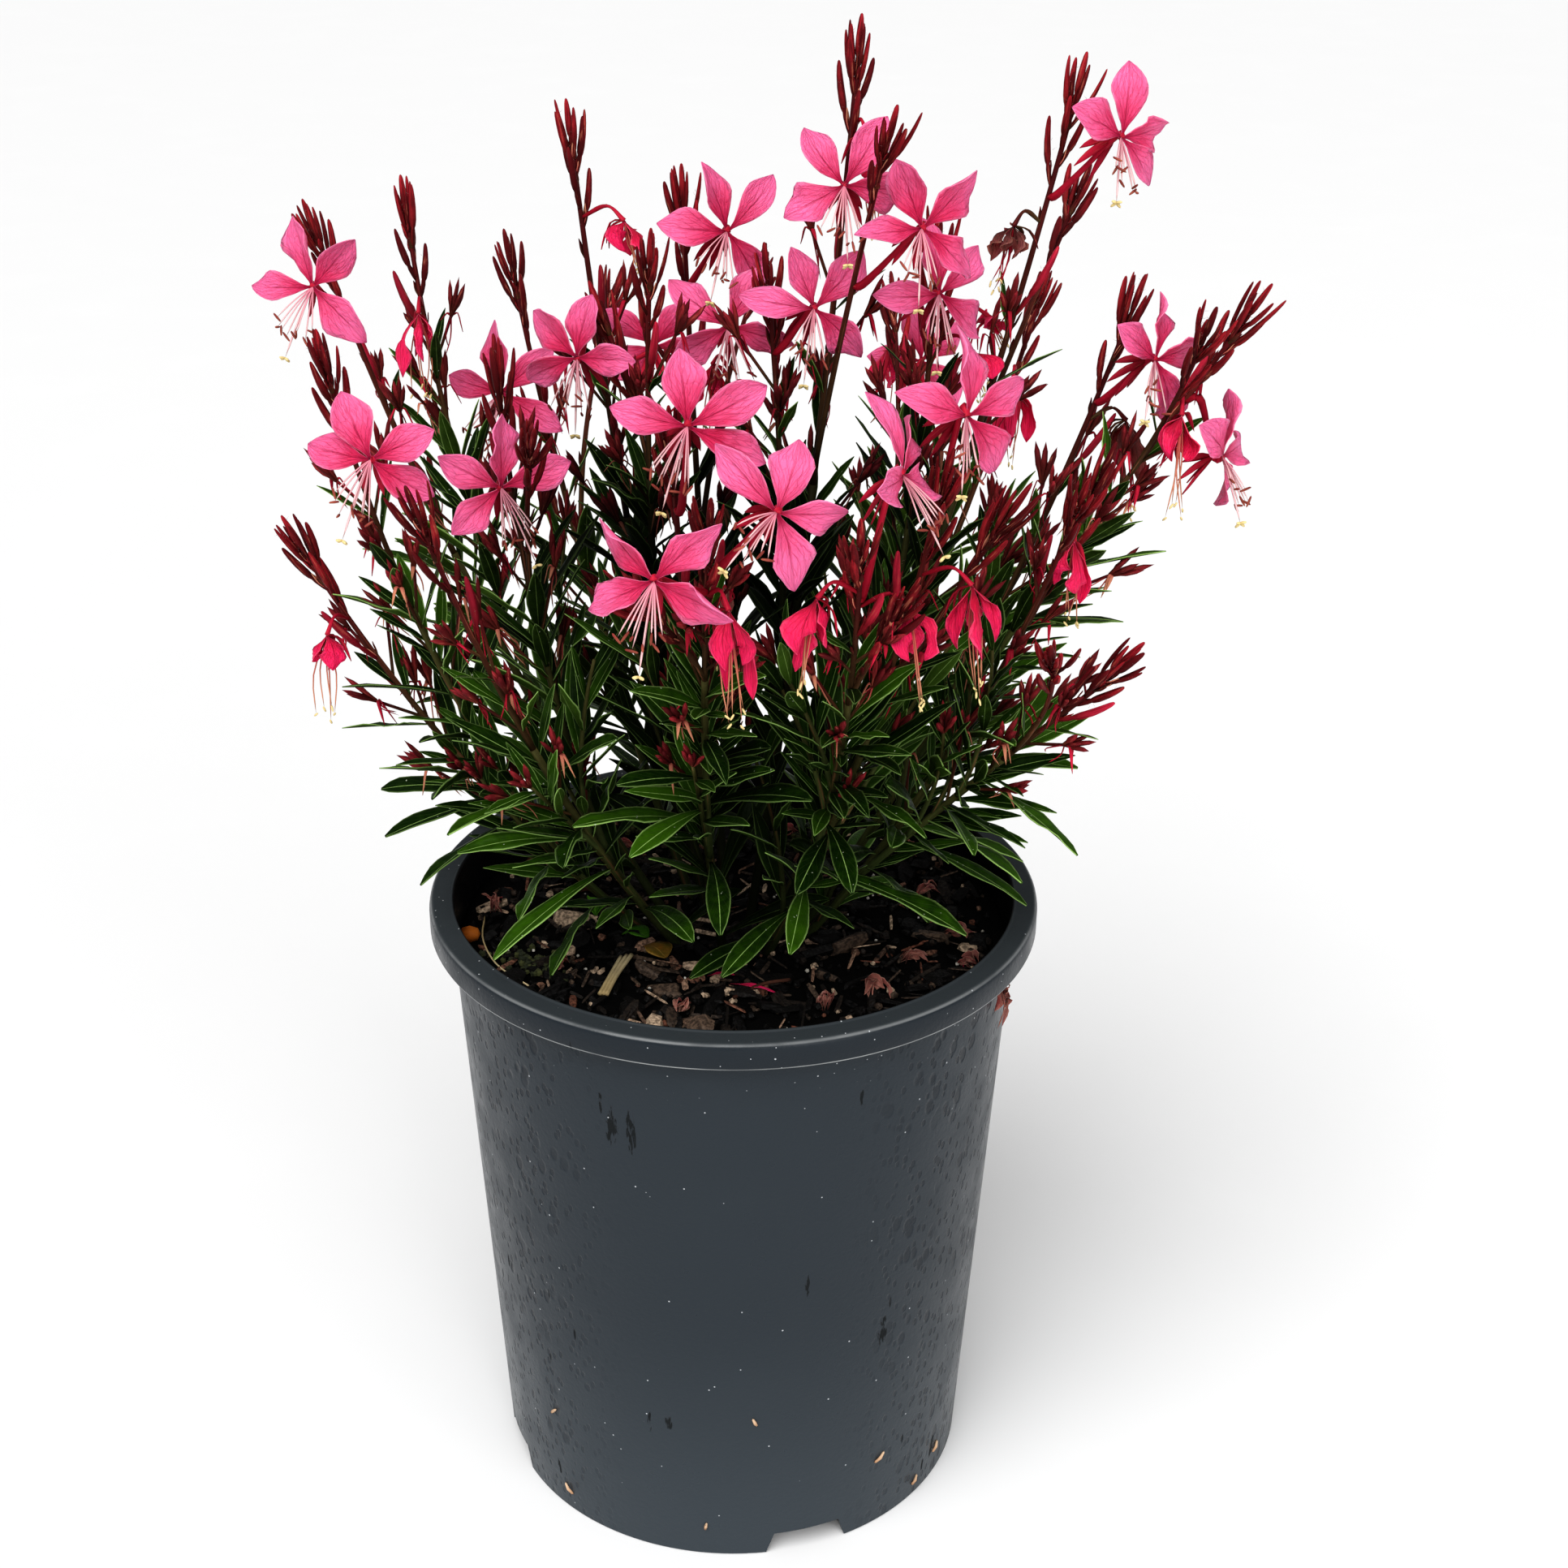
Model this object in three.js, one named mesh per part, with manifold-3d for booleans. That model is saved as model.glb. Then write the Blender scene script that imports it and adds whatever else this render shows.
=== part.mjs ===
// Potted gaura: a clump of leafy stems with racemes of buds and butterfly-shaped flowers,
// in a round nursery pot filled with bark potting mix. Millimetres, +Z up, pot axis on Z,
// underside of the pot on Z = 0, the side that faces the viewer towards -Y.

import * as THREE from 'three';
import { mergeVertices } from 'three/addons/utils/BufferGeometryUtils.js';
import Module from 'manifold-3d';

const wasm = await Module();
wasm.setup();

// Pot
const POT_HEIGHT = 213.5;
const RIM_RADIUS = 100;
const RIM_BAND = 9;
const LIP_INNER_RADIUS = 92;
const BEAD_WIDTH = 1.2;
const BEAD_HEIGHT = 0.6;
const BODY_TOP_RADIUS = 93;
const BODY_FOOT_RADIUS = 80.5;
const WALL = 1.8;
const FLOOR_UNDERSIDE = 11;
const FLOOR_THICKNESS = 2;
const FOOT_RING_WIDTH = 3.4;
const POT_SIDES = 28;
const NOTCH_COUNT = 4;
const NOTCH_BEARING = -72;
const NOTCH_FOOT_WIDTH = 29;
const NOTCH_TOP_WIDTH = 23;
const NOTCH_HEIGHT = 8.5;
const DRAIN_RADIUS = 5;
const DRAIN_CIRCLE_RADIUS = 55;

// Potting mix
const SOIL_LEVEL = 198;
const SOIL_RIPPLE = 1.6;
const SOIL_SIDES = POT_SIDES;
const CHIP_COUNT = 12;

// Plant
const GAP = 0.3;
const ROOT_DEPTH = 14;
const LEAN = 0.62;
const RISE = 0.42;
const STEM_RADIUS = 1.9;
const TIP_RADIUS = 0.75;
const RED_START = 0.58;
const RED_END = 0.95;
const FORK_TAPER = 0.9;
const FORK_NECK = 0.3;
const FORK_FOLLOW = 0.22;
const FORK_SAG = 0.04;
const FORK_ROOT = 0.5;
const GREEN_STEPS = 4;
const RED_STEPS = 3;
const STEM_SIDES = 3;
const INNER_FOOT = 8.2;
const GOLDEN_TURN = 137.5;
const BUD_LENGTH = 16;
const BLADE_THICKNESS = 1.2;

const LEAF_GREEN = 0x2c5a1c;
const RACEME_RED = 0x7a1830;
const PETAL_PINK = 0xe8558a;
const POT_GREY = 0x373e46;
const SOIL_BROWN = 0x221b16;

// One entry for each stem that leaves the soil, by letter: its foot [x, y], and its shoots.
// A shoot runs to the tip of its top bud at [x, y, z]. The first grows from the foot and the
// next forks from it. A raceme may carry a side spray, which forks from it where it turns red.
const STEMS = {
  A: { foot: [3, 2], shoots: [
    { top: [37, 15, 489], spray: { from: 0.6, top: [43, -26, 461] } },
    { fork: 0.3, top: [10, 8, 416] },
  ] },
  B: { foot: [9, 5], shoots: [
    { top: [103, 20, 477], spray: { from: 0.62, top: [108, 57, 428] } },
    { fork: 0.3, top: [62, 26, 424] },
  ] },
  C: { foot: [-5, 3], shoots: [
    { top: [-50, 32, 462] },
    { fork: 0.3, top: [-24, -14, 426], spray: { from: 0.6, top: [-38, 8, 399] } },
  ] },
  D: { foot: [-13, 6], shoots: [
    { top: [-137, 70, 422] },
    { fork: 0.34, top: [-104, 62, 425] },
  ] },
  E: { foot: [-8, 12], shoots: [
    { top: [-76, 102, 403], spray: { from: 0.56, top: [-42, 140, 376] } },
  ] },
  F: { foot: [-1, 8], shoots: [
    { top: [-16, 50, 437], spray: { from: 0.56, top: [10, 128, 388] } },
  ] },
  G: { foot: [8, 12], shoots: [
    { top: [104, 92, 393] },
    { fork: 0.3, top: [56, 134, 378] },
  ] },
  H: { foot: [14, 1], shoots: [
    { top: [122, 8, 412] },
    { fork: 0.34, top: [152, -16, 413], spray: { from: 0.66, top: [134, -30, 405] } },
  ] },
  I: { foot: [-14, -1], shoots: [
    { top: [-132, -20, 343] },
    { fork: 0.3, top: [-118, -30, 403] },
  ] },
  J: { foot: [-9, -7], shoots: [
    { top: [-89, -72, 372] },
    { fork: 0.3, top: [-70, -10, 393], spray: { from: 0.58, top: [-56, -62, 383] } },
  ] },
  K: { foot: [-2, -8], shoots: [
    { top: [-17, -84, 398] },
    { fork: 0.3, top: [-6, -122, 384], spray: { from: 0.5, top: [-24, -112, 356] } },
  ] },
  L: { foot: [6, -10], shoots: [
    { top: [58, -88, 388], spray: { from: 0.6, top: [76, -66, 364] } },
    { fork: 0.28, top: [33, -116, 376], spray: { from: 0.5, top: [44, -104, 350] } },
  ] },
  M: { foot: [13, -5], shoots: [
    { top: [109, -32, 370], spray: { from: 0.6, top: [97, -62, 367] } },
    { fork: 0.24, top: [112, -64, 318], spray: { from: 0.62, top: [88, -92, 332] } },
  ] },
};

// Open flowers: the raceme that carries each one, how far along it, the middle of the flower,
// the bearing and rise of the way it faces in degrees, and its roll.
const BLOOMS = [
  { on: 'I2', along: 0.72, middle: [-102, -54, 378], bearing: -95, rise: 8, roll: 20 },
  { on: 'D1', along: 0.76, middle: [-132, 46, 402], bearing: -105, rise: 12, roll: 15 },
  { on: 'J2', along: 0.66, middle: [-70, -34, 370], bearing: -70, rise: 5, roll: -20 },
  { on: 'K1', along: 0.84, middle: [-12, -88, 399], bearing: -90, rise: 10, roll: 20 },
  { on: 'K2', along: 0.78, middle: [11, -122, 386], bearing: -75, rise: 15, roll: 60 },
  { on: 'L2', along: 0.74, middle: [44, -104, 390], bearing: -20, rise: 14, roll: 20 },
  { on: 'K2', along: 0.66, middle: [-20, -134, 372], bearing: -110, rise: 5, roll: 0 },
  { on: 'F1', along: 0.8, middle: [-2, 30, 423], bearing: -70, rise: 10, roll: 30 },
  { on: 'F1', along: 0.6, middle: [-1, 26, 395], bearing: -95, rise: 12, roll: -14 },
  { on: 'A2', along: 0.7, middle: [24, 4, 401], bearing: -75, rise: 10, roll: 20 },
  { on: 'A1', along: 0.72, middle: [32, -4, 444], bearing: -95, rise: 14, roll: -6 },
  { on: 'A1 spray', along: 0.6, middle: [53, -14, 434], bearing: -75, rise: 10, roll: 14 },
  { on: 'B2', along: 0.78, middle: [61, 2, 411], bearing: -60, rise: 6, roll: 24 },
  { on: 'B1', along: 0.8, middle: [113, 10, 455], bearing: -50, rise: 10, roll: 45 },
  { on: 'H1', along: 0.76, middle: [125, -6, 388], bearing: -50, rise: 8, roll: 40 },
  { on: 'H2', along: 0.62, middle: [147, -8, 364], bearing: -25, rise: 5, roll: 50 },
  { on: 'L1', along: 0.8, middle: [60, -84, 390], bearing: -50, rise: 8, roll: 40 },
  { on: 'C1', along: 0.58, middle: [-44, 10, 390], bearing: -120, rise: 8, roll: -20 },
  { on: 'E1', along: 0.66, middle: [-76, 66, 362], bearing: -100, rise: 10, roll: 16 },
  { on: 'E1 spray', along: 0.7, middle: [-28, 129, 360], bearing: 85, rise: 12, roll: 10 },
  { on: 'G2', along: 0.66, middle: [66, 134, 352], bearing: 70, rise: 10, roll: -18 },
];

// Withered flowers hang closed from the racemes: raceme, how far along, bearing, reach and drop.
const WITHERED = [
  ['C1', 0.84, -20, 14, 12], ['I1', 0.72, -110, 14, 20], ['K2', 0.62, -60, 12, 26],
  ['L2', 0.8, -160, 12, 22], ['L2', 0.7, 0, 14, 24], ['L1', 0.72, -30, 16, 26],
  ['M1', 0.86, -100, 10, 20], ['H2', 0.6, -80, 10, 24], ['G1', 0.8, -100, 12, 22],
  ['H1', 0.7, -60, 12, 26], ['B2', 0.72, -30, 18, 6], ['D2', 0.66, -90, 10, 20],
  ['B2', 0.6, -40, 16, 8], ['A1', 0.88, -120, 8, 22], ['B1', 0.74, -150, 10, 14],
  ['K1', 0.62, -60, 10, 20], ['G2', 0.78, 100, 12, 22], ['F1 spray', 0.62, 120, 12, 22],
];

let seed = 20761;

// A repeatable draw between 0 and 1.
function draw() {
  seed = (seed * 1664525 + 1013904223) % 4294967296;
  return seed / 4294967296;
}

const vector = (x, y, z) => new THREE.Vector3(x, y, z);
const UP = vector(0, 0, 1);
const radians = THREE.MathUtils.degToRad;
const mix = THREE.MathUtils.lerp;

function bearingVector(bearing, rise = 0) {
  const flat = Math.cos(radians(rise));
  return vector(
    flat * Math.cos(radians(bearing)),
    flat * Math.sin(radians(bearing)),
    Math.sin(radians(rise)),
  );
}

// Solids

function solidOf(geometry) {
  geometry.deleteAttribute('normal');
  geometry.deleteAttribute('uv');
  const merged = mergeVertices(geometry, 1e-4);
  return new wasm.Manifold(new wasm.Mesh({
    numProp: 3,
    vertProperties: new Float32Array(merged.attributes.position.array),
    triVerts: new Uint32Array(merged.index.array),
  }));
}

function fuse(solids) {
  return solids.reduce((whole, next) => whole.add(next));
}

function meshOf(name, solid, material) {
  const { vertProperties, triVerts } = solid.getMesh();
  const geometry = new THREE.BufferGeometry();
  geometry.setAttribute('position', new THREE.BufferAttribute(new Float32Array(vertProperties), 3));
  geometry.setIndex(new THREE.BufferAttribute(new Uint32Array(triVerts), 1));
  geometry.computeVertexNormals();
  const mesh = new THREE.Mesh(geometry, material);
  mesh.name = name;
  return mesh;
}

// A closed skin through rings of points. Every ring has as many points as the others, or is
// one point where the skin runs to a tip.
function skin(rings) {
  const sides = Math.max(...rings.map((ring) => ring.length));
  const firsts = rings.map((ring, i) => rings.slice(0, i).reduce((sum, r) => sum + r.length, 0));
  const faces = [];
  for (let i = 0; i + 1 < rings.length; i++) {
    const [near, far] = [firsts[i], firsts[i + 1]];
    for (let j = 0; j < sides; j++) {
      const k = (j + 1) % sides;
      if (rings[i].length === 1) faces.push(near, far + k, far + j);
      else if (rings[i + 1].length === 1) faces.push(near + j, near + k, far);
      else faces.push(near + j, near + k, far + k, near + j, far + k, far + j);
    }
  }
  const last = firsts[rings.length - 1];
  for (let j = 1; j + 1 < sides; j++) {
    if (rings[0].length > 1) faces.push(0, j + 1, j);
    if (rings[rings.length - 1].length > 1) faces.push(last, last + j, last + j + 1);
  }
  const points = rings.flat();
  let volume = 0;
  for (let f = 0; f < faces.length; f += 3) {
    const [a, b, c] = [points[faces[f]], points[faces[f + 1]], points[faces[f + 2]]];
    volume += a.dot(b.clone().cross(c));
  }
  if (volume < 0) faces.reverse();
  const geometry = new THREE.BufferGeometry().setFromPoints(points);
  geometry.setIndex(faces);
  return solidOf(geometry);
}

// A round bar through points with a radius at each, 0 being a tip.
function sweep(points, radii, sides) {
  let side = null;
  const rings = points.map((point, i) => {
    const before = points[Math.max(i - 1, 0)];
    const after = points[Math.min(i + 1, points.length - 1)];
    const along = after.clone().sub(before).normalize();
    side ??= Math.abs(along.x) < 0.7 ? vector(1, 0, 0) : vector(0, 1, 0);
    side = side.clone().addScaledVector(along, -side.dot(along)).normalize();
    const other = along.clone().cross(side);
    if (radii[i] === 0) return [point];
    return Array.from({ length: sides }, (_, j) => {
      const turn = (2 * Math.PI * j) / sides;
      return point.clone()
        .addScaledVector(side, radii[i] * Math.cos(turn))
        .addScaledVector(other, radii[i] * Math.sin(turn));
    });
  });
  return skin(rings);
}

// A blade along points, as wide as widths, 0 being a tip. Its face is flat and its back has a
// keel, the midrib, which is where it is as thick as given.
function blade(points, widths, across, thickness) {
  const rings = points.map((point, i) => {
    if (widths[i] === 0) return [point];
    const before = points[Math.max(i - 1, 0)];
    const after = points[Math.min(i + 1, points.length - 1)];
    const face = after.clone().sub(before).cross(across).normalize();
    return [
      point.clone().addScaledVector(across, -widths[i] / 2),
      point.clone().addScaledVector(across, widths[i] / 2),
      point.clone().addScaledVector(face, -thickness),
    ];
  });
  return skin(rings);
}

// Room: every piece of the plant is noted as small balls, and a new one turns until it is clear.

const BAR_ROOM = 1.3;
const TOP_BUD_ROOM = 1.6;
const BUD_ROOM = 1.7;
const PETAL_ROOM = 1.9;
const THREAD_ROOM = 1.4;
const HEART_ROOM = 2.8;
const WITHERED_ROOM = 3.2;
const LEAF_ROOM = 2.05;
const SOIL_ROOM = 5;
const RIM_ROOM = 4;
const RIM_INSIDE = 86;
const ROOM_STEP = 3;

const taken = [];

function note(points, radius, owner) {
  points.forEach((point) => taken.push({ point, radius, owner }));
}

function isClear(points, radius, owner, sameOwnerToo = false) {
  return points.every((point) => {
    const out = Math.hypot(point.x, point.y);
    const floor = out < RIM_INSIDE ? SOIL_LEVEL + SOIL_ROOM : POT_HEIGHT + RIM_ROOM;
    if (out < RIM_RADIUS + RIM_ROOM && point.z < floor) return false;
    return taken.every((ball) => {
      if (ball.owner === owner && !sameOwnerToo) return true;
      const reach = radius + ball.radius;
      return point.distanceToSquared(ball.point) > reach * reach;
    });
  });
}

function stretch(from, to, step) {
  const count = Math.max(1, Math.round(from.distanceTo(to) / step));
  return Array.from({ length: count + 1 }, (_, i) => from.clone().lerp(to, i / count));
}

// Stems and shoots

// A path follows a curve in straight pieces, as the bar along it does.
function pathOf(curve, from, to, steps, thick, thin) {
  const points = Array.from({ length: steps + 1 }, (_, i) => curve.getPoint(mix(from, to, i / steps)));
  const share = (t) => THREE.MathUtils.clamp((t - from) / (to - from), 0, 1);
  const at = (t) => {
    const place = share(t) * steps;
    const i = Math.min(Math.floor(place), steps - 1);
    return points[i].clone().lerp(points[i + 1], place - i);
  };
  const radii = points.map((_, i) => mix(thick, thin, i / steps));
  return { curve, from, to, points, radii, at, length: points[0].distanceTo(points[steps]) };
}

function frameAt({ curve, at }, t) {
  const along = curve.getTangent(t);
  const side = along.clone().cross(vector(1, 0, 0)).normalize();
  return { point: at(t), along, side, other: along.clone().cross(side) };
}

function outward(frame, turn) {
  return frame.side.clone().multiplyScalar(Math.cos(radians(turn)))
    .addScaledVector(frame.other, Math.sin(radians(turn)));
}

function mainCurve(foot, top) {
  const start = vector(foot[0], foot[1], SOIL_LEVEL - ROOT_DEPTH);
  const end = vector(...top);
  const control = vector(
    mix(start.x, end.x, LEAN),
    mix(start.y, end.y, LEAN),
    mix(start.z, end.z, RISE),
  );
  return new THREE.QuadraticBezierCurve3(start, control, end);
}

function forkCurve(parent, from, top) {
  const start = parent.at(from);
  const end = vector(...top);
  const reach = start.distanceTo(end);
  const control = start.clone().lerp(end, FORK_NECK)
    .addScaledVector(parent.curve.getTangent(from), reach * FORK_FOLLOW)
    .addScaledVector(UP, -reach * FORK_SAG);
  return new THREE.QuadraticBezierCurve3(start, control, end);
}

// The green part of a shoot is one path and the raceme above it another, which starts a gap on.
function shootPaths(curve, thick) {
  const waist = mix(thick, TIP_RADIUS, RED_START);
  const begin = RED_START + GAP / curve.getLength();
  return {
    green: pathOf(curve, 0, RED_START, GREEN_STEPS, thick, waist),
    red: pathOf(curve, begin, RED_END, RED_STEPS, waist, TIP_RADIUS),
  };
}

function radiusAlong({ from, to, radii }, t) {
  return mix(radii[0], radii[radii.length - 1], (t - from) / (to - from));
}

function notePath({ from, to, at, length }, radius, owner) {
  const count = Math.ceil(length / ROOM_STEP);
  for (let i = 0; i <= count; i++) note([at(mix(from, to, i / count))], radius, owner);
}

const stems = Object.entries(STEMS).map(([letter, { foot, shoots }]) => {
  const main = shootPaths(mainCurve(foot, shoots[0].top), STEM_RADIUS);
  return {
    letter,
    inner: Math.hypot(...foot) < INNER_FOOT,
    shoots: shoots.map(({ fork, top, spray }) => {
      if (!fork) return { ...main, spray };
      const thick = radiusAlong(main.green, fork) * FORK_TAPER;
      const paths = shootPaths(forkCurve(main.green, fork, top), thick);
      paths.green.radii[0] *= FORK_ROOT;
      return { ...paths, spray };
    }),
  };
});

// Each raceme goes by its stem's letter and its shoot's number, and holds one path or two.
const racemes = new Map();
stems.forEach(({ letter, shoots }) => shoots.forEach(({ red, spray }, i) => {
  const paths = [red];
  if (spray) {
    const thick = radiusAlong(red, spray.from) * FORK_TAPER;
    const side = pathOf(forkCurve(red, spray.from, spray.top), 0, RED_END, RED_STEPS, thick, TIP_RADIUS);
    side.radii[0] *= FORK_ROOT;
    paths.push(side);
  }
  racemes.set(`${letter}${i + 1}`, { owner: `raceme ${letter}${i + 1}`, paths, solids: [] });
}));

function findPath(label) {
  const [name, spray] = label.split(' ');
  const raceme = racemes.get(name);
  return { raceme, path: raceme.paths[spray ? 1 : 0] };
}

stems.forEach(({ letter, shoots }) => shoots.forEach(({ green }) => {
  notePath(green, STEM_RADIUS, `stem ${letter}`);
}));
racemes.forEach(({ owner, paths }) => paths.forEach((path) => {
  notePath(path, BAR_ROOM, owner);
  const end = path.at(RED_END);
  const tip = end.clone().addScaledVector(path.curve.getTangent(1), BUD_LENGTH);
  note(stretch(end, tip, ROOM_STEP), TOP_BUD_ROOM, owner);
}));

// Open flowers: a slim red tube, four clawed petals in a fan, swept-back sepals, stamens and style.

const PETAL_LENGTH = 20.5;
const PETAL_STATIONS = [0, 0.42, 0.76, 1];
const PETAL_WIDTHS = [0, 9.5, 12.5, 0];
const PETAL_TURNS = [-104, -34, 34, 104];
const PETAL_CUP = 0.2;
const PETAL_RECURVE = 0.32;

function petalPoints(middle, way, face) {
  return PETAL_STATIONS.map((s) => middle.clone()
    .addScaledVector(way, PETAL_LENGTH * s)
    .addScaledVector(face, PETAL_LENGTH * s * (PETAL_CUP - PETAL_RECURVE * s)));
}

function bloomFrame(bearing, rise, roll) {
  const face = bearingVector(bearing, rise);
  const across = UP.clone().cross(face).normalize();
  const crest = face.clone().cross(across);
  const turn = (degrees) => crest.clone().multiplyScalar(Math.cos(radians(degrees + roll)))
    .addScaledVector(across, Math.sin(radians(degrees + roll)));
  return { face, turn };
}

// Threads are the sepals, stamens and style: turn from the crest, lean to the face, length.
const SEPALS = [[-160, -0.9, 11], [160, -0.9, 11]];
const STAMENS = [[-150, 0.75, 17], [162, 0.75, 17]];
const STYLE = [180, 0.5, 22];
const ROOM_STATIONS = [0.2, 0.36, 0.52, 0.68, 0.84, 1];
const STYLE_STATIONS = [0, 0.5, 0.95, 1.05];
const STYLE_RADII = [0, 0.5, 1.3, 0];
const THREAD_DROP = 3;
const TUBE_RADII = [0.4, 0.8, 1.3, 2.2, 0];
const HEART_DEPTH = 2.5;
const KNEE_REACH = 3.6;
const KNEE_RISE = 3;

function threadPoints(heart, { face, turn }, [degrees, lean, length], stations) {
  const way = turn(degrees).addScaledVector(face, lean).normalize();
  return stations.map((s) => heart.clone()
    .addScaledVector(way, length * s)
    .addScaledVector(UP, -THREAD_DROP * s * s));
}

function petalRoom({ points, across }) {
  return [1, 2, 3].flatMap((i) => {
    const half = Math.max(PETAL_WIDTHS[i], 4) * 0.34;
    const between = points[i].clone().lerp(points[i - 1], 0.5);
    return [points[i], between].flatMap((point) => (
      [-half, 0, half].map((d) => point.clone().addScaledVector(across, d))
    ));
  });
}

// A bloom stands where it is meant to, or is bent a little further out, up or round. Its tube
// leaves the raceme at a knee.
function placeBloom({ on, along, middle, bearing, rise, roll }, b) {
  const owner = `bloom ${b}`;
  const { path } = findPath(on);
  const { point: root, along: up } = frameAt(path, mix(path.from, RED_END, along));
  for (let tries = 0; tries < 80; tries++) {
    const push = 3 * (tries % 4);
    const lift = [0, 5, -5, 10][Math.floor(tries / 4) % 4];
    const twist = [0, 14, -14, 28, -28][Math.floor(tries / 16)];
    const way = bloomFrame(bearing, rise, roll + twist);
    const heart = vector(...middle).addScaledVector(way.face, push).addScaledVector(UP, lift);
    const toHeart = heart.clone().sub(root);
    const lateral = toHeart.addScaledVector(up, -toHeart.dot(up)).normalize();
    const knee = root.clone().addScaledVector(lateral, KNEE_REACH).addScaledVector(up, KNEE_RISE);
    const petals = PETAL_TURNS.map((degrees) => {
      const out = way.turn(degrees);
      return { points: petalPoints(heart, out, way.face), across: way.face.clone().cross(out) };
    });
    const wide = petals.flatMap(petalRoom);
    const back = heart.clone().addScaledVector(way.face, -HEART_DEPTH);
    const slim = [
      ...stretch(knee, back, 2),
      ...SEPALS.flatMap((sepal) => threadPoints(back, way, sepal, ROOM_STATIONS)),
      ...[...STAMENS, STYLE].flatMap((thread) => threadPoints(heart, way, thread, ROOM_STATIONS)),
    ];
    const core = [back, heart];
    const sizes = [[wide, PETAL_ROOM], [slim, THREAD_ROOM], [core, HEART_ROOM]];
    if (sizes.every(([points, size]) => isClear(points, size, owner))) {
      sizes.forEach(([points, size]) => note(points, size, owner));
      return { ...way, heart, back, petals, root, knee, path };
    }
  }
  throw new Error(`bloom ${b} finds no room`);
}

function bloomSolid({ heart, back, face, turn, petals, root, knee, path }) {
  const front = heart.clone().addScaledVector(face, 1.4);
  const threads = [
    ...SEPALS.map((thread) => [thread, 1.3, back]),
    ...STAMENS.map((thread) => [thread, 0.5, heart]),
  ];
  const bloom = fuse([
    sweep([root, knee, back, heart, front], TUBE_RADII, 3),
    ...petals.map(({ points, across }) => blade(points, PETAL_WIDTHS, across, BLADE_THICKNESS)),
    ...threads.map(([thread, girth, from]) => (
      sweep(threadPoints(from, { face, turn }, thread, [0, 0.5, 1]), [0, girth, 0], 3)
    )),
    sweep(threadPoints(heart, { face, turn }, STYLE, STYLE_STATIONS), STYLE_RADII, 3),
  ]);
  const room = path.radii.map((radius) => radius + 2 * GAP);
  return bloom.subtract(sweep(path.points, room, STEM_SIDES));
}

const placedBlooms = BLOOMS.map(placeBloom);

// Buds: a close bunch at each tip, and single long ones lower down. The top bud ends the stem.

const BUD_BUNCH = 5;
const BUD_SPACING = 5;
const BUD_RADIUS = 1.5;
const BUD_WAIST = 0.42;
const BUD_CLEAR_FROM = 0.16;
const BUD_LEAN = 15;
const BUD_TRIES = 8;
const BUD_TURN = 47;
const BUNCH_TURN = 80;
const LONG_BUD = { along: 0.5, lean: 17, length: 21, radius: 1.7 };
const WITHERED_RADII = [0.8, 1, 2.6, 3.2, 0];
const WITHERED_TRIES = 12;
const WITHERED_TURN = 31;
const WITHERED_ARCH = 4;

function bud(path, t, turn, lean, length, radius, owner, solids) {
  const frame = frameAt(path, t);
  for (let tries = 0; tries < BUD_TRIES; tries++) {
    const out = outward(frame, turn + tries * BUD_TURN);
    const way = frame.along.clone().multiplyScalar(Math.cos(radians(lean)))
      .addScaledVector(out, Math.sin(radians(lean)));
    const [waist, low, tip] = [BUD_WAIST, BUD_CLEAR_FROM, 1].map((s) => (
      frame.point.clone().addScaledVector(way, s * length)
    ));
    const room = stretch(low, tip, ROOM_STEP);
    if (isClear(room, BUD_ROOM, owner)) {
      note(room, BUD_ROOM, owner);
      solids.push(sweep([frame.point, waist, tip], [0, radius, 0], 3));
      return;
    }
  }
}

// A bar along a raceme's path, run on into the top bud.
function racemeBar({ curve, points, radii }) {
  const end = points[points.length - 1];
  const along = curve.getTangent(1);
  const bend = [BUD_WAIST, 1].map((s) => end.clone().addScaledVector(along, s * BUD_LENGTH));
  return sweep([...points, ...bend], [...radii, BUD_RADIUS, 0], STEM_SIDES);
}

function budsOn(path, spin, { owner, solids }) {
  for (let i = 1; i < BUD_BUNCH; i++) {
    const t = RED_END - (i * BUD_SPACING) / path.curve.getLength();
    const lean = BUD_LEAN + 3 * draw();
    const length = BUD_LENGTH - 1 + 5 * draw();
    bud(path, t, i * GOLDEN_TURN + spin, lean, length, BUD_RADIUS, owner, solids);
  }
  if (path.from === 0) return;
  const { along, lean, length, radius } = LONG_BUD;
  const t = mix(path.from, RED_END, along);
  bud(path, t, spin, lean, length + 4 * draw(), radius, owner, solids);
}

function witheredFlower([label, along, bearing, reach, drop]) {
  const { raceme: { owner, solids }, path } = findPath(label);
  const { point } = frameAt(path, mix(path.from, RED_END, along));
  for (let tries = 0; tries < WITHERED_TRIES; tries++) {
    const out = bearingVector(bearing + tries * WITHERED_TURN);
    const knee = point.clone().addScaledVector(out, reach * 0.6).addScaledVector(UP, WITHERED_ARCH);
    const brow = point.clone().addScaledVector(out, reach);
    const tip = brow.clone().addScaledVector(out, WITHERED_ARCH).addScaledVector(UP, -drop);
    const room = [...stretch(knee, brow, ROOM_STEP), ...stretch(brow, tip, ROOM_STEP)];
    if (isClear(room, WITHERED_ROOM, owner)) {
      note(room, WITHERED_ROOM, owner);
      const middle = brow.clone().lerp(tip, 0.5);
      solids.push(sweep([point, knee, brow, middle, tip], WITHERED_RADII, 3));
      return;
    }
  }
}

const redMaterial = new THREE.MeshStandardMaterial({ color: RACEME_RED, roughness: 0.6, metalness: 0 });

WITHERED.forEach(witheredFlower);

let clusters = 0;
racemes.forEach((raceme) => raceme.paths.forEach((path) => {
  raceme.solids.push(racemeBar(path));
  budsOn(path, BUNCH_TURN * clusters, raceme);
  clusters += 1;
}));

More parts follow.
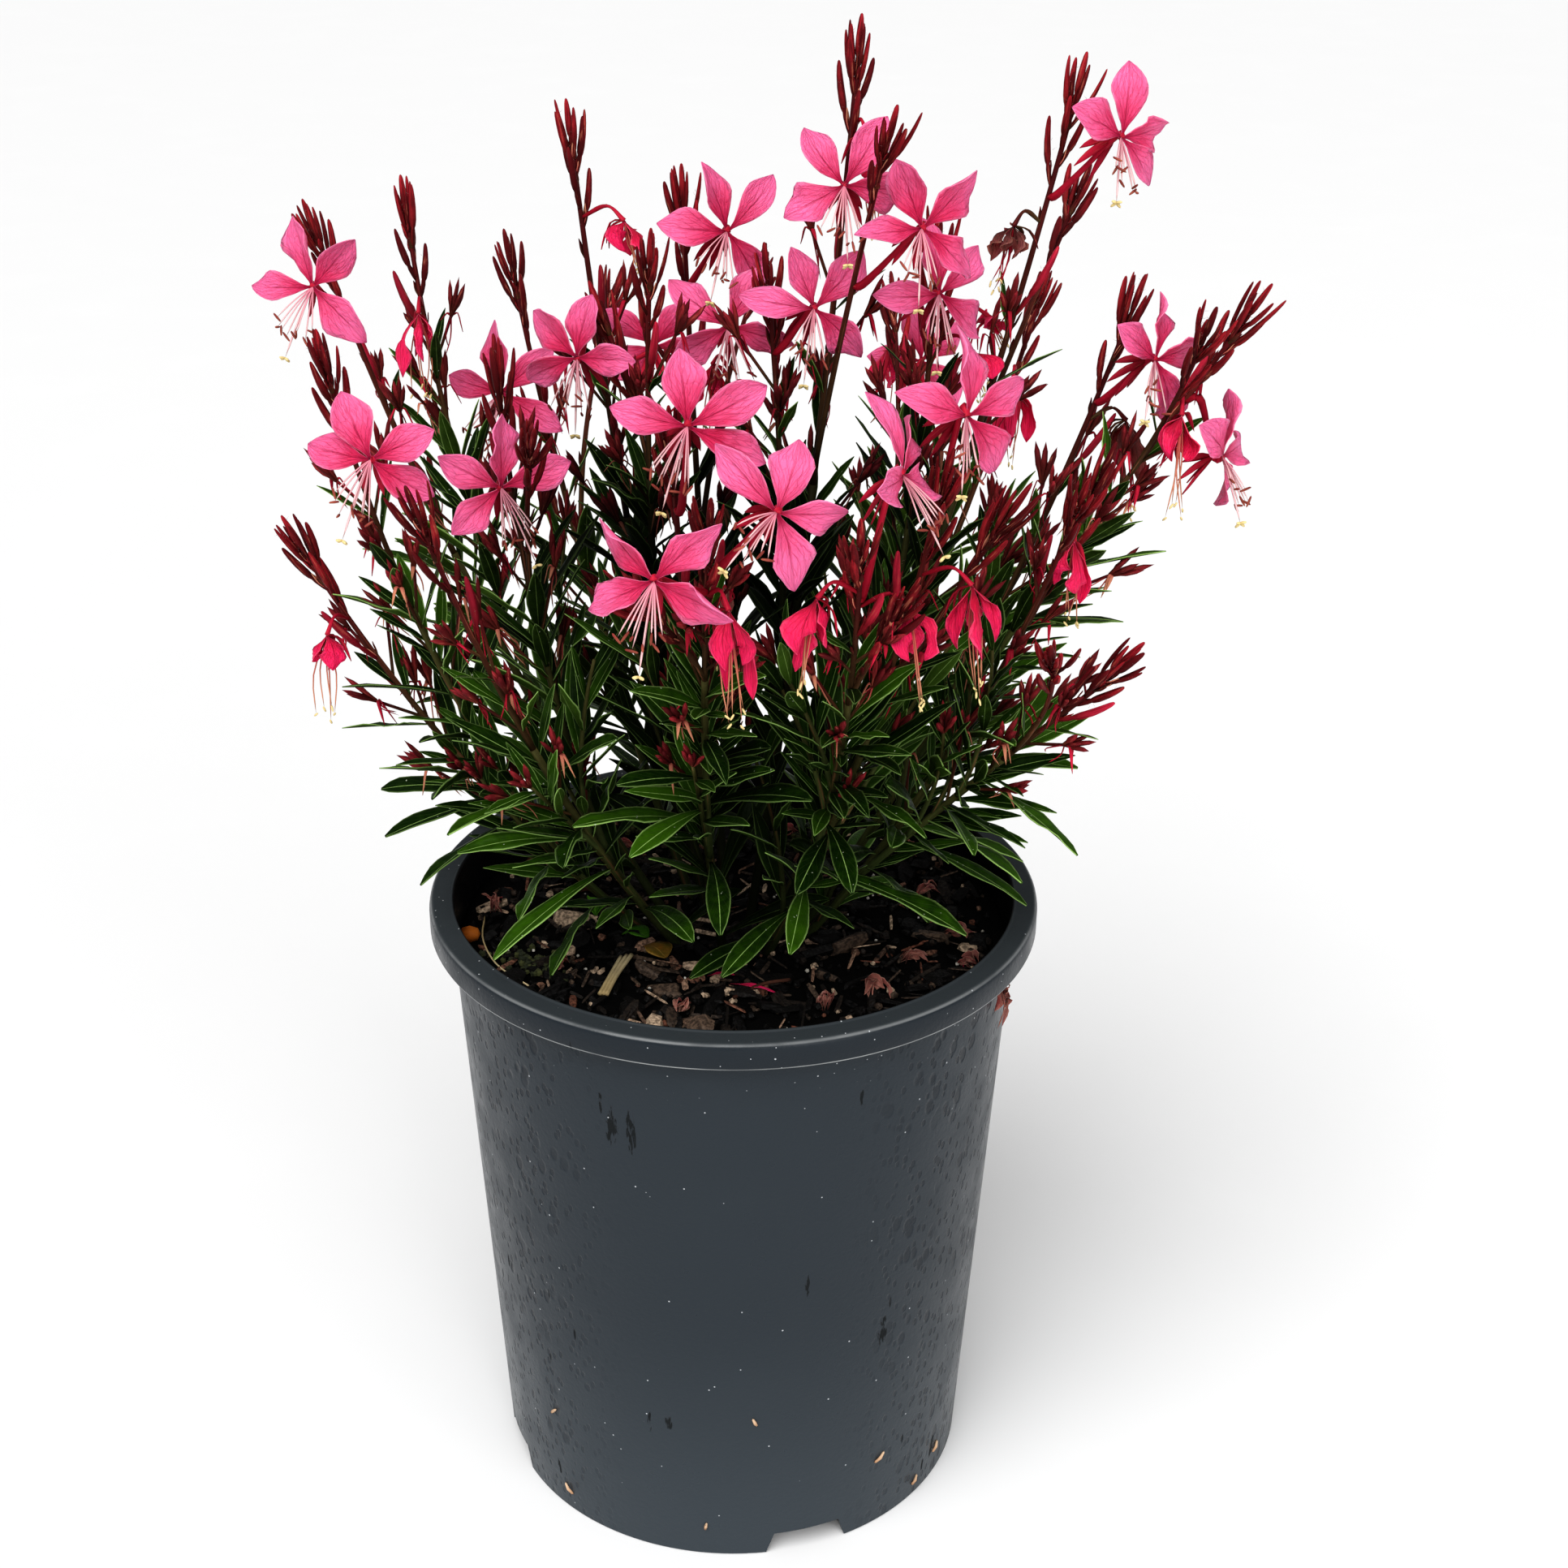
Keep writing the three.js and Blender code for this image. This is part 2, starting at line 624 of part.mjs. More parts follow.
// Leaves: in a spiral up each green shoot, long and spreading below, short and upright above.

const LEAF_STATIONS = [0, 0.34, 0.7, 1];
const LEAF_WIDTHS = [0, 0.86, 1, 0];
const LEAF_ASPECT = 0.17;
const LEAF_TURN = 29;
const LEAF_TURNS = 12;
const LEAF_SHRINKS = [1, 0.82, 0.66];
const LEAFY_HEIGHT = 140;
const LEAF_PITCHES = [68, 32];
const LEAF_DROOPS = [0.3, 0.06];
const LEAF_LENGTHS = [36, 28];
const LEAF_SWELL = 14;
const LEAF_CROWDING = 0.68;

function leafShape(frame, turn, pitch, droop, length) {
  const out = outward(frame, turn);
  const way = frame.along.clone().multiplyScalar(Math.cos(radians(pitch)))
    .addScaledVector(out, Math.sin(radians(pitch)));
  const across = frame.along.clone().cross(out).normalize();
  const at = (s) => frame.point.clone()
    .addScaledVector(way, length * s)
    .addScaledVector(UP, -droop * length * s * s);
  return { at, across };
}

function leafRoom({ at, across }, width, length, from, to) {
  const count = Math.ceil((length * (to - from)) / 4);
  const room = [];
  for (let i = 0; i <= count; i++) {
    const point = at(mix(from, to, i / count));
    [-0.3, 0, 0.3].forEach((side) => room.push(point.clone().addScaledVector(across, side * width)));
  }
  return room;
}

function growLeaf(path, t, turn, pitch, droop, fullLength, owner, solids) {
  const frame = frameAt(path, t);
  for (let tries = 0; tries < LEAF_TURNS * LEAF_SHRINKS.length; tries++) {
    const length = fullLength * LEAF_SHRINKS[Math.floor(tries / LEAF_TURNS)];
    const width = length * LEAF_ASPECT;
    const shape = leafShape(frame, turn + (tries % LEAF_TURNS) * LEAF_TURN, pitch, droop, length);
    const near = leafRoom(shape, width * 0.6, length, 0.1, 0.3);
    const far = leafRoom(shape, width, length, 0.32, 1);
    if (isClear(near, LEAF_ROOM, owner) && isClear(far, LEAF_ROOM, owner, true)) {
      note([...near, ...far], LEAF_ROOM, owner);
      const points = LEAF_STATIONS.map((s) => shape.at(s));
      const widths = LEAF_WIDTHS.map((w) => w * width);
      solids.push(blade(points, widths, shape.across, BLADE_THICKNESS));
      return;
    }
  }
}

const MAIN_LEAVES = 11;
const FORK_LEAVES = 7;
const INNER_LOWEST = 0.26;
const OUTER_LOWEST = 0.1;
const FORK_LOWEST = 0.14;

const greenMaterial = new THREE.MeshStandardMaterial({ color: LEAF_GREEN, roughness: 0.5, metalness: 0 });

const stemSolids = stems.map(({ letter, shoots, inner }, s) => {
  const solids = [];
  shoots.forEach(({ green }, i) => {
    solids.push(sweep(green.points, green.radii, STEM_SIDES));
    const count = i === 0 ? MAIN_LEAVES : FORK_LEAVES;
    const lowest = i > 0 ? FORK_LOWEST : inner ? INNER_LOWEST : OUTER_LOWEST;
    for (let n = 0; n < count; n++) {
      const t = mix(lowest, RED_START - 0.02, ((n + 0.5 * draw()) / count) ** LEAF_CROWDING);
      const height = THREE.MathUtils.clamp((green.at(t).z - SOIL_LEVEL) / LEAFY_HEIGHT, 0, 1);
      const pitch = mix(...LEAF_PITCHES, height) + 12 * (draw() - 0.5);
      const droop = mix(...LEAF_DROOPS, height);
      const swell = LEAF_SWELL * Math.sin(Math.PI * height ** 0.7);
      const length = (mix(...LEAF_LENGTHS, height) + swell) * (0.88 + 0.24 * draw());
      const turn = n * GOLDEN_TURN + s * 50;
      growLeaf(green, t, turn, pitch, droop, length, `stem ${letter}`, solids);
    }
  });
  return fuse(solids);
});

// Pot

function latheOf(profile, sides) {
  const points = profile.map(([radius, height]) => new THREE.Vector2(radius, height));
  const geometry = new THREE.LatheGeometry(points, sides);
  geometry.rotateX(Math.PI / 2);
  return solidOf(geometry);
}

function bodyRadius(height) {
  return mix(BODY_FOOT_RADIUS, BODY_TOP_RADIUS, height / (POT_HEIGHT - RIM_BAND));
}

function makePot() {
  const band = POT_HEIGHT - RIM_BAND;
  const floorTop = FLOOR_UNDERSIDE + FLOOR_THICKNESS;
  const profile = [
    [0, FLOOR_UNDERSIDE],
    [BODY_FOOT_RADIUS - FOOT_RING_WIDTH - 1, FLOOR_UNDERSIDE],
    [BODY_FOOT_RADIUS - FOOT_RING_WIDTH, 0],
    [BODY_FOOT_RADIUS, 0],
    [BODY_TOP_RADIUS, band],
    [RIM_RADIUS, band],
    [RIM_RADIUS, POT_HEIGHT - 1],
    [RIM_RADIUS - 1, POT_HEIGHT],
    [LIP_INNER_RADIUS + BEAD_WIDTH, POT_HEIGHT],
    [LIP_INNER_RADIUS + BEAD_WIDTH / 2, POT_HEIGHT + BEAD_HEIGHT],
    [LIP_INNER_RADIUS, POT_HEIGHT],
    [BODY_TOP_RADIUS - WALL, band - 1],
    [bodyRadius(floorTop) - WALL, floorTop],
    [0, floorTop],
  ];
  let pot = latheOf(profile, POT_SIDES);
  for (let i = 0; i < NOTCH_COUNT; i++) {
    const bearing = NOTCH_BEARING + (i * 360) / NOTCH_COUNT;
    const outline = new THREE.Shape([
      new THREE.Vector2(-NOTCH_FOOT_WIDTH / 2, -1),
      new THREE.Vector2(NOTCH_FOOT_WIDTH / 2, -1),
      new THREE.Vector2(NOTCH_TOP_WIDTH / 2, NOTCH_HEIGHT),
      new THREE.Vector2(-NOTCH_TOP_WIDTH / 2, NOTCH_HEIGHT),
    ]);
    const notch = new THREE.ExtrudeGeometry(outline, { depth: 24, bevelEnabled: false });
    notch.rotateX(Math.PI / 2);
    notch.translate(0, BODY_FOOT_RADIUS + 8, 0);
    notch.rotateZ(radians(bearing - 90));
    pot = pot.subtract(solidOf(notch));
    const drain = new THREE.CylinderGeometry(DRAIN_RADIUS, DRAIN_RADIUS, 3 * FLOOR_THICKNESS, 8);
    drain.rotateX(Math.PI / 2);
    drain.translate(DRAIN_CIRCLE_RADIUS, 0, FLOOR_UNDERSIDE + FLOOR_THICKNESS / 2);
    drain.rotateZ(radians(bearing + 45));
    pot = pot.subtract(solidOf(drain));
  }
  return pot;
}

// Potting mix: a plug that fills the pot, with an uneven top, chips of bark and the stems' holes.

const SOIL_RINGS = [68, 44, 20];

function soilHeight(x, y) {
  const long = Math.sin(x * 0.11 + 1.3) * Math.cos(y * 0.13 - 0.4);
  const short = Math.sin(x * 0.37 + y * 0.21) * Math.sin(y * 0.41 - x * 0.17);
  return SOIL_LEVEL + SOIL_RIPPLE * (0.6 * long + 0.4 * short);
}

function soilRing(radius, height) {
  return Array.from({ length: SOIL_SIDES }, (_, i) => {
    const turn = (2 * Math.PI * i) / SOIL_SIDES;
    const [x, y] = [radius * Math.cos(turn), radius * Math.sin(turn)];
    return vector(x, y, height ?? soilHeight(x, y));
  });
}

function barkChip() {
  const size = [8 + 9 * draw(), 4 + 4 * draw(), 2.4 + 1.4 * draw()];
  const chip = new THREE.BoxGeometry(...size);
  chip.rotateX(0.5 * (draw() - 0.5));
  chip.rotateY(0.5 * (draw() - 0.5));
  chip.rotateZ(Math.PI * draw());
  const turn = 2 * Math.PI * draw();
  const out = 26 + 50 * Math.sqrt(draw());
  const [x, y] = [out * Math.cos(turn), out * Math.sin(turn)];
  chip.translate(x, y, soilHeight(x, y) + 0.5);
  return solidOf(chip);
}

function makeSoil() {
  const floor = FLOOR_UNDERSIDE + FLOOR_THICKNESS + GAP;
  const slack = WALL + 2 * GAP;
  const rings = [
    [vector(0, 0, floor)],
    soilRing(bodyRadius(floor) - slack, floor),
    soilRing(bodyRadius(SOIL_LEVEL) - slack),
    ...SOIL_RINGS.map((radius) => soilRing(radius)),
    [vector(0, 0, soilHeight(0, 0))],
  ];
  const chips = Array.from({ length: CHIP_COUNT }, barkChip);
  let soil = fuse([skin(rings), ...chips]);
  stems.forEach(({ shoots }) => {
    const { points: [foot, next, after], radii } = shoots[0].green;
    const start = foot.clone().addScaledVector(next.clone().sub(foot).normalize(), -GAP);
    const room = radii.slice(0, 3).map((radius) => radius + 2 * GAP);
    soil = soil.subtract(sweep([start, next, after], room, STEM_SIDES));
  });
  return soil;
}

// Assembly

const plant = new THREE.Group();

function add(name, solid, material) {
  plant.add(meshOf(name, solid, material));
}

const two = (number) => String(number + 1).padStart(2, '0');

const potMaterial = new THREE.MeshStandardMaterial({ color: POT_GREY, roughness: 0.45, metalness: 0 });
const soilMaterial = new THREE.MeshStandardMaterial({ color: SOIL_BROWN, roughness: 0.95, metalness: 0 });
const pinkMaterial = new THREE.MeshStandardMaterial({ color: PETAL_PINK, roughness: 0.55, metalness: 0 });

add('pot', makePot(), potMaterial);
add('potting_mix', makeSoil(), soilMaterial);
stemSolids.forEach((solid, i) => add(`leafy_stem_${two(i)}`, solid, greenMaterial));
[...racemes.values()].forEach(({ solids }, i) => add(`raceme_${two(i)}`, fuse(solids), redMaterial));
placedBlooms.forEach((placed, i) => add(`bloom_${two(i)}`, bloomSolid(placed), pinkMaterial));

export default plant;
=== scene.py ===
# %% [markdown]
# # A gaura in its nursery pot
# A gaura is a clump of thin leafy stems. Above the leaves each stem turns dark red and carries a
# loose spike of long buds, and a few of them open into pink, butterfly-shaped flowers.
# A plant is hard to draw by hand in a viewport, because it has hundreds of leaves. So this lesson
# models each kind of piece once, as a master, and bends copies of it along lines in space.

import math
import random
from collections import defaultdict
from itertools import product

import bmesh
import bpy
import numpy as np
from mathutils import Matrix, Vector
from mathutils.noise import noise as lumps


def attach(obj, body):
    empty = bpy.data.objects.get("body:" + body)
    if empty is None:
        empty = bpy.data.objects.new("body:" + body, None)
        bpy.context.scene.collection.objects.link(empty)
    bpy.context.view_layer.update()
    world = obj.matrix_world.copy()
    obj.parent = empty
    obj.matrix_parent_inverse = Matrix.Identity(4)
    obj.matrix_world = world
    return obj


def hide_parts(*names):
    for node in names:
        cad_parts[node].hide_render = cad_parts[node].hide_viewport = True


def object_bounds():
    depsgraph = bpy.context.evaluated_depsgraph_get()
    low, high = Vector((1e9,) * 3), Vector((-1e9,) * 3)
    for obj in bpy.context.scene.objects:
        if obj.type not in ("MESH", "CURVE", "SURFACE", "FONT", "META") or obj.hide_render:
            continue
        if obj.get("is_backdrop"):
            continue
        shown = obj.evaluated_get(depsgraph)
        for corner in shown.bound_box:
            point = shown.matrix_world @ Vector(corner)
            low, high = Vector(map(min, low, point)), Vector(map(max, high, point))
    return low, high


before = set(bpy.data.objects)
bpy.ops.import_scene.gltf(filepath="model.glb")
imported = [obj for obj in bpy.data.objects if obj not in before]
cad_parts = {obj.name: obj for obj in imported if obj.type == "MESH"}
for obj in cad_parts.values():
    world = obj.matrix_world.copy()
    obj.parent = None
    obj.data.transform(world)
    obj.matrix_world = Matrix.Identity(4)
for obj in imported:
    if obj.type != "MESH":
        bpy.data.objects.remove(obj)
cad_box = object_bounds()
MM = 0.001
random.seed(411)
print("frame", len(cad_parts), "nodes, box",
      [tuple(round(c, 3) for c in corner) for corner in cad_box])

# %% [markdown]
# ## The camera
# The pot is round, so its rim shows as an ellipse whose shape gives the camera's height, and the
# taper from rim to foot gives its distance. A lens and a place that match the rim, the band and
# the foot were found that way. The pot stands a little left of the middle of the picture, and
# the lens shift does that without turning the camera.

# %% Camera
PHOTO_WIDTH = 1932
FOCAL_PIXELS = 3000
AXIS_COLUMN = 903.5
CAMERA_TILT = math.radians(25.6)
CAMERA_DISTANCE = 0.789
LOOK_HEIGHT = 0.2508

lens = bpy.data.cameras.new("photo_lens")
lens.sensor_width = 36
lens.lens = 36 * FOCAL_PIXELS / PHOTO_WIDTH
lens.shift_x = (PHOTO_WIDTH / 2 - AXIS_COLUMN) / PHOTO_WIDTH
camera = bpy.data.objects.new("photo_camera", lens)
camera.location = (0, -CAMERA_DISTANCE * math.cos(CAMERA_TILT),
                   LOOK_HEIGHT + CAMERA_DISTANCE * math.sin(CAMERA_TILT))
camera.rotation_euler = (math.pi / 2 - CAMERA_TILT, 0, 0)
bpy.context.scene.collection.objects.link(camera)
bpy.context.scene.camera = camera
print("lens", round(lens.lens, 2), "mm, shift", round(lens.shift_x, 4))

# %% [markdown]
# ## The plan of the plant
# Each stem leaves the soil at its foot and ends at the tip of its top bud. One bend with a single
# control point joins the two: it leans out early and then rises, as a stem does that grows to the
# light. The plan is in millimetres, because plants are measured that way, and only the finished
# pieces are turned into metres.

# %% Driving sizes
POT_HEIGHT = 213.5
RIM_RADIUS = 100.0
RIM_BAND = 9.0
BODY_TOP_RADIUS = 93.0
BODY_FOOT_RADIUS = 80.5
WALL = 1.8
FLOOR_UNDERSIDE = 11.0
FLOOR_THICKNESS = 2.0
SOIL_LEVEL = 198.0
SOIL_RIPPLE = 1.6
GAP = 0.3
ROOT_DEPTH = 14.0
LEAN, RISE = 0.62, 0.42
STEM_RADIUS, TIP_RADIUS = 1.9, 0.75
RED_START, RED_END = 0.58, 0.95
GREEN_STEPS, RED_STEPS = 4, 3
FORK_TAPER, FORK_NECK, FORK_FOLLOW, FORK_SAG = 0.9, 0.3, 0.22, 0.04
INNER_FOOT = 8.2
GOLDEN_TURN = 137.5
BUD_LENGTH = 16.0

# %% Stems, by letter: foot, then shoots as (fork, tip, spray)
STEMS = {
    "A": ((3, 2), [(None, (37, 15, 489), (0.6, (43, -26, 461))), (0.3, (10, 8, 416), None)]),
    "B": ((9, 5), [(None, (103, 20, 477), (0.62, (108, 57, 428))), (0.3, (62, 26, 424), None)]),
    "C": ((-5, 3), [(None, (-50, 32, 462), None), (0.3, (-24, -14, 426), (0.6, (-38, 8, 399)))]),
    "D": ((-13, 6), [(None, (-137, 70, 422), None), (0.34, (-104, 62, 425), None)]),
    "E": ((-8, 12), [(None, (-76, 102, 403), (0.56, (-42, 140, 376)))]),
    "F": ((-1, 8), [(None, (-16, 50, 437), (0.56, (10, 128, 388)))]),
    "G": ((8, 12), [(None, (104, 92, 393), None), (0.3, (56, 134, 378), None)]),
    "H": ((14, 1), [(None, (122, 8, 412), None), (0.34, (152, -16, 413), (0.66, (134, -30, 405)))]),
    "I": ((-14, -1), [(None, (-132, -20, 343), None), (0.3, (-118, -30, 403), None)]),
    "J": ((-9, -7), [(None, (-89, -72, 372), None), (0.3, (-70, -10, 393), (0.58, (-56, -62, 383)))]),
    "K": ((-2, -8), [(None, (-17, -84, 398), None), (0.3, (-6, -122, 384), (0.5, (-24, -112, 356)))]),
    "L": ((6, -10), [(None, (58, -88, 388), (0.6, (76, -66, 364))),
                     (0.28, (33, -116, 376), (0.5, (44, -104, 350)))]),
    "M": ((13, -5), [(None, (109, -32, 370), (0.6, (97, -62, 367))),
                     (0.24, (112, -64, 318), (0.62, (88, -92, 332)))]),
}

# %% Open flowers: shoot, how far along, middle, bearing, rise, roll
BLOOMS = [
    ("I2", 0.72, (-102, -54, 378), -95, 8, 20),
    ("D1", 0.76, (-132, 46, 402), -105, 12, 15),
    ("J2", 0.66, (-70, -34, 370), -70, 5, -20),
    ("K1", 0.84, (-12, -88, 399), -90, 10, 20),
    ("K2", 0.78, (11, -122, 386), -75, 15, 60),
    ("L2", 0.74, (44, -104, 390), -20, 14, 20),
    ("K2", 0.66, (-20, -134, 372), -110, 5, 0),
    ("F1", 0.8, (-2, 30, 423), -70, 10, 30),
    ("F1", 0.6, (-1, 26, 395), -95, 12, -14),
    ("A2", 0.7, (24, 4, 401), -75, 10, 20),
    ("A1", 0.72, (32, -4, 444), -95, 14, -6),
    ("A1 spray", 0.6, (53, -14, 434), -75, 10, 14),
    ("B2", 0.78, (61, 2, 411), -60, 6, 24),
    ("B1", 0.8, (113, 10, 455), -50, 10, 45),
    ("H1", 0.76, (125, -6, 388), -50, 8, 40),
    ("H2", 0.62, (147, -8, 364), -25, 5, 50),
    ("L1", 0.8, (60, -84, 390), -50, 8, 40),
    ("C1", 0.58, (-44, 10, 390), -120, 8, -20),
    ("E1", 0.66, (-76, 66, 362), -100, 10, 16),
    ("E1 spray", 0.7, (-28, 129, 360), 85, 12, 10),
    ("G2", 0.66, (66, 134, 352), 70, 10, -18),
]

# %% Withered flowers: shoot, how far along, bearing, reach, drop
WITHERED = [
    ("C1", 0.84, -20, 14, 12), ("I1", 0.72, -110, 14, 20), ("K2", 0.62, -60, 12, 26),
    ("L2", 0.8, -160, 12, 22), ("L2", 0.7, 0, 14, 24), ("L1", 0.72, -30, 16, 26),
    ("M1", 0.86, -100, 10, 20), ("H2", 0.6, -80, 10, 24), ("G1", 0.8, -100, 12, 22),
    ("H1", 0.7, -60, 12, 26), ("B2", 0.72, -30, 18, 6), ("D2", 0.66, -90, 10, 20),
    ("B2", 0.6, -40, 16, 8), ("A1", 0.88, -120, 8, 22), ("B1", 0.74, -150, 10, 14),
    ("K1", 0.62, -60, 10, 20), ("G2", 0.78, 100, 12, 22), ("F1 spray", 0.62, 120, 12, 22),
]

# %% [markdown]
# ## Lines in space
# A path follows its bend in a few straight pieces, the way the stiff stems run from node to node.
# Every leaf, bud and flower is rooted on a path, so the same few functions place them all.

# %% Vectors
UP = np.array([0.0, 0.0, 1.0])
SIDEWAYS = np.array([1.0, 0.0, 0.0])


def vec(*parts):
    return np.array(parts, float)


def unit(v):
    return v / math.sqrt(v @ v)


def mix(a, b, t):
    return (1 - t) * a + t * b


def toward(a, b, t):
    return a + (b - a) * t


def bearing_vector(bearing, rise=0):
    turn, lift = math.radians(bearing), math.radians(rise)
    return vec(math.cos(lift) * math.cos(turn), math.cos(lift) * math.sin(turn), math.sin(lift))


def swing(a, b, degrees):
    """The heading so many degrees from a, on the way to b."""
    return a * math.cos(math.radians(degrees)) + b * math.sin(math.radians(degrees))


# %% Bends and paths
class Bend:
    def __init__(self, start, control, end):
        self.start, self.control, self.end = start, control, end

    def point(self, t):
        return (1 - t) ** 2 * self.start + 2 * (1 - t) * t * self.control + t * t * self.end

    def heading(self, t, step=1e-4):
        return unit(self.point(min(t + step, 1)) - self.point(max(t - step, 0)))

    def length(self, pieces=200):
        dots = np.array([self.point(i / pieces) for i in range(pieces + 1)])
        return float(np.sqrt((np.diff(dots, axis=0) ** 2).sum(1)).sum())


class Path:
    def __init__(self, bend, start, stop, steps, thick, thin):
        self.bend, self.start, self.stop, self.steps = bend, start, stop, steps
        self.points = [bend.point(mix(start, stop, i / steps)) for i in range(steps + 1)]
        self.thick, self.thin = thick, thin
        self.length = float(np.linalg.norm(self.points[0] - self.points[-1]))
        self.whole = bend.length()

    def at(self, t):
        place = min(max((t - self.start) / (self.stop - self.start), 0), 1) * self.steps
        i = min(int(place), self.steps - 1)
        return toward(self.points[i], self.points[i + 1], place - i)

    def radius(self, t):
        return mix(self.thick, self.thin, (t - self.start) / (self.stop - self.start))

    def frame(self, t):
        along = self.bend.heading(t)
        side = unit(np.cross(along, SIDEWAYS))
        return self.at(t), along, side, np.cross(along, side)

    def sides(self, t, turn, step, tries):
        """The root and heading at t with one outward side after another, each a step further round."""
        root, along, side, other = self.frame(t)
        for i in range(tries):
            yield root, along, swing(side, other, turn + i * step)


# %% Shoots, forks and sprays
def main_bend(foot, tip):
    start, end = vec(*foot, SOIL_LEVEL - ROOT_DEPTH), vec(*tip)
    x, y = mix(start[0], end[0], LEAN), mix(start[1], end[1], LEAN)
    return Bend(start, vec(x, y, mix(start[2], end[2], RISE)), end)


def fork_bend(parent, t, tip):
    start, end = parent.at(t), vec(*tip)
    reach = float(np.linalg.norm(start - end))
    control = toward(start, end, FORK_NECK)
    control = control + parent.bend.heading(t) * (reach * FORK_FOLLOW) - UP * (reach * FORK_SAG)
    return Bend(start, control, end)


def shoot_paths(bend, thick):
    waist = mix(thick, TIP_RADIUS, RED_START)
    begin = RED_START + GAP / bend.length()
    green = Path(bend, 0, RED_START, GREEN_STEPS, thick, waist)
    return green, Path(bend, begin, RED_END, RED_STEPS, waist, TIP_RADIUS)


stems, racemes = [], {}
for letter, (foot, shoots) in STEMS.items():
    greens = []
    for number, (fork, tip, spray) in enumerate(shoots, 1):
        if fork:
            bend, thick = fork_bend(greens[0], fork, tip), greens[0].radius(fork) * FORK_TAPER
        else:
            bend, thick = main_bend(foot, tip), STEM_RADIUS
        green, red = shoot_paths(bend, thick)
        greens.append(green)
        racemes[f"{letter}{number}"] = [red]
        if spray:
            side = fork_bend(red, spray[0], spray[1])
            racemes[f"{letter}{number}"].append(
                Path(side, 0, RED_END, RED_STEPS, red.radius(spray[0]) * FORK_TAPER, TIP_RADIUS))
    stems.append((letter, math.hypot(*foot) < INNER_FOOT, greens))
print("plan", len(stems), "stems,", len(racemes), "racemes")

# %% [markdown]
# ## Room for every piece
# On a real plant nothing grows through anything else. Each placed piece is noted as a row of small
# balls, and a new piece is turned, shortened or moved until its own balls touch nobody else's.

# %% Room
BAR_ROOM, TOP_BUD_ROOM, BUD_ROOM, PETAL_ROOM = 1.3, 1.6, 1.7, 1.9
THREAD_ROOM, HEART_ROOM, WITHERED_ROOM, LEAF_ROOM = 1.4, 2.8, 3.2, 2.05
SOIL_ROOM, RIM_ROOM, RIM_INSIDE, ROOM_STEP = 5.0, 4.0, 86.0, 3.0


class Room:
    """Balls that are taken, in boxes of one cell each, so that only near ones are measured."""
    CELL, MOST_REACH = 12.0, 7.0

    def __init__(self, most=200000):
        self.at, self.size = np.zeros((most, 3)), np.zeros(most)
        self.owner, self.count, self.names, self.cells = np.zeros(most, int), 0, {}, {}

    def number(self, owner):
        return self.names.setdefault(owner, len(self.names))

    def note(self, points, size, owner):
        stop = self.count + len(points)
        self.at[self.count:stop] = points
        self.size[self.count:stop] = size
        self.owner[self.count:stop] = self.number(owner)
        for i in range(self.count, stop):
            cell = tuple(np.floor(self.at[i] / self.CELL).astype(int))
            self.cells.setdefault(cell, []).append(i)
        self.count = stop

    def near(self, points):
        low = np.floor((points.min(0) - self.MOST_REACH) / self.CELL).astype(int)
        high = np.floor((points.max(0) + self.MOST_REACH) / self.CELL).astype(int)
        boxes = product(*(range(first, last + 1) for first, last in zip(low, high)))
        return np.array([i for box in boxes for i in self.cells.get(box, ())], int)

    def clear(self, points, size, owner, own_too=False):
        points = np.array(points)
        out = np.hypot(points[:, 0], points[:, 1])
        floor = np.where(out < RIM_INSIDE, SOIL_LEVEL + SOIL_ROOM, POT_HEIGHT + RIM_ROOM)
        if ((out < RIM_RADIUS + RIM_ROOM) & (points[:, 2] < floor)).any():
            return False
        near = self.near(points)
        if not own_too:
            near = near[self.owner[near] != self.number(owner)]
        apart = ((points[:, None] - self.at[near][None]) ** 2).sum(-1)
        return bool((apart > (self.size[near] + size) ** 2).all())

    def take(self, points, size, owner):
        """Notes the balls if all of them are clear, and says whether they were."""
        clear = self.clear(points, size, owner)
        if clear:
            self.note(points, size, owner)
        return clear


def stretch(a, b, step):
    count = max(1, math.floor(np.linalg.norm(a - b) / step + 0.5))
    return [toward(a, b, i / count) for i in range(count + 1)]


room = Room()


def note_path(path, size, owner):
    count = math.ceil(path.length / ROOM_STEP)
    room.note([path.at(mix(path.start, path.stop, i / count)) for i in range(count + 1)], size, owner)


for letter, _, greens in stems:
    for green in greens:
        note_path(green, STEM_RADIUS, f"stem {letter}")
for label, paths in racemes.items():
    for path in paths:
        note_path(path, BAR_ROOM, f"raceme {label}")
        end = path.at(RED_END)
        tip = end + path.bend.heading(1) * BUD_LENGTH
        room.note(stretch(end, tip, ROOM_STEP), TOP_BUD_ROOM, f"raceme {label}")
print("room", room.count, "balls for the stems")

# %% [markdown]
# ## A repeatable die
# The plan uses its own small random generator, so that every run, on every computer, grows the
# same plant. What grows is kept in lists, one for each kind of piece on each stem or raceme.

# %% Die
seed = 20761


def draw():
    global seed
    seed = (seed * 1664525 + 1013904223) % 4294967296
    return seed / 4294967296


def find_path(label):
    name, *spray = label.split(" ")
    return name, racemes[name][len(spray)]


grown = defaultdict(list)


def count_grown(kind):
    return sum(len(rows) for (own_kind, _), rows in grown.items() if own_kind == kind)


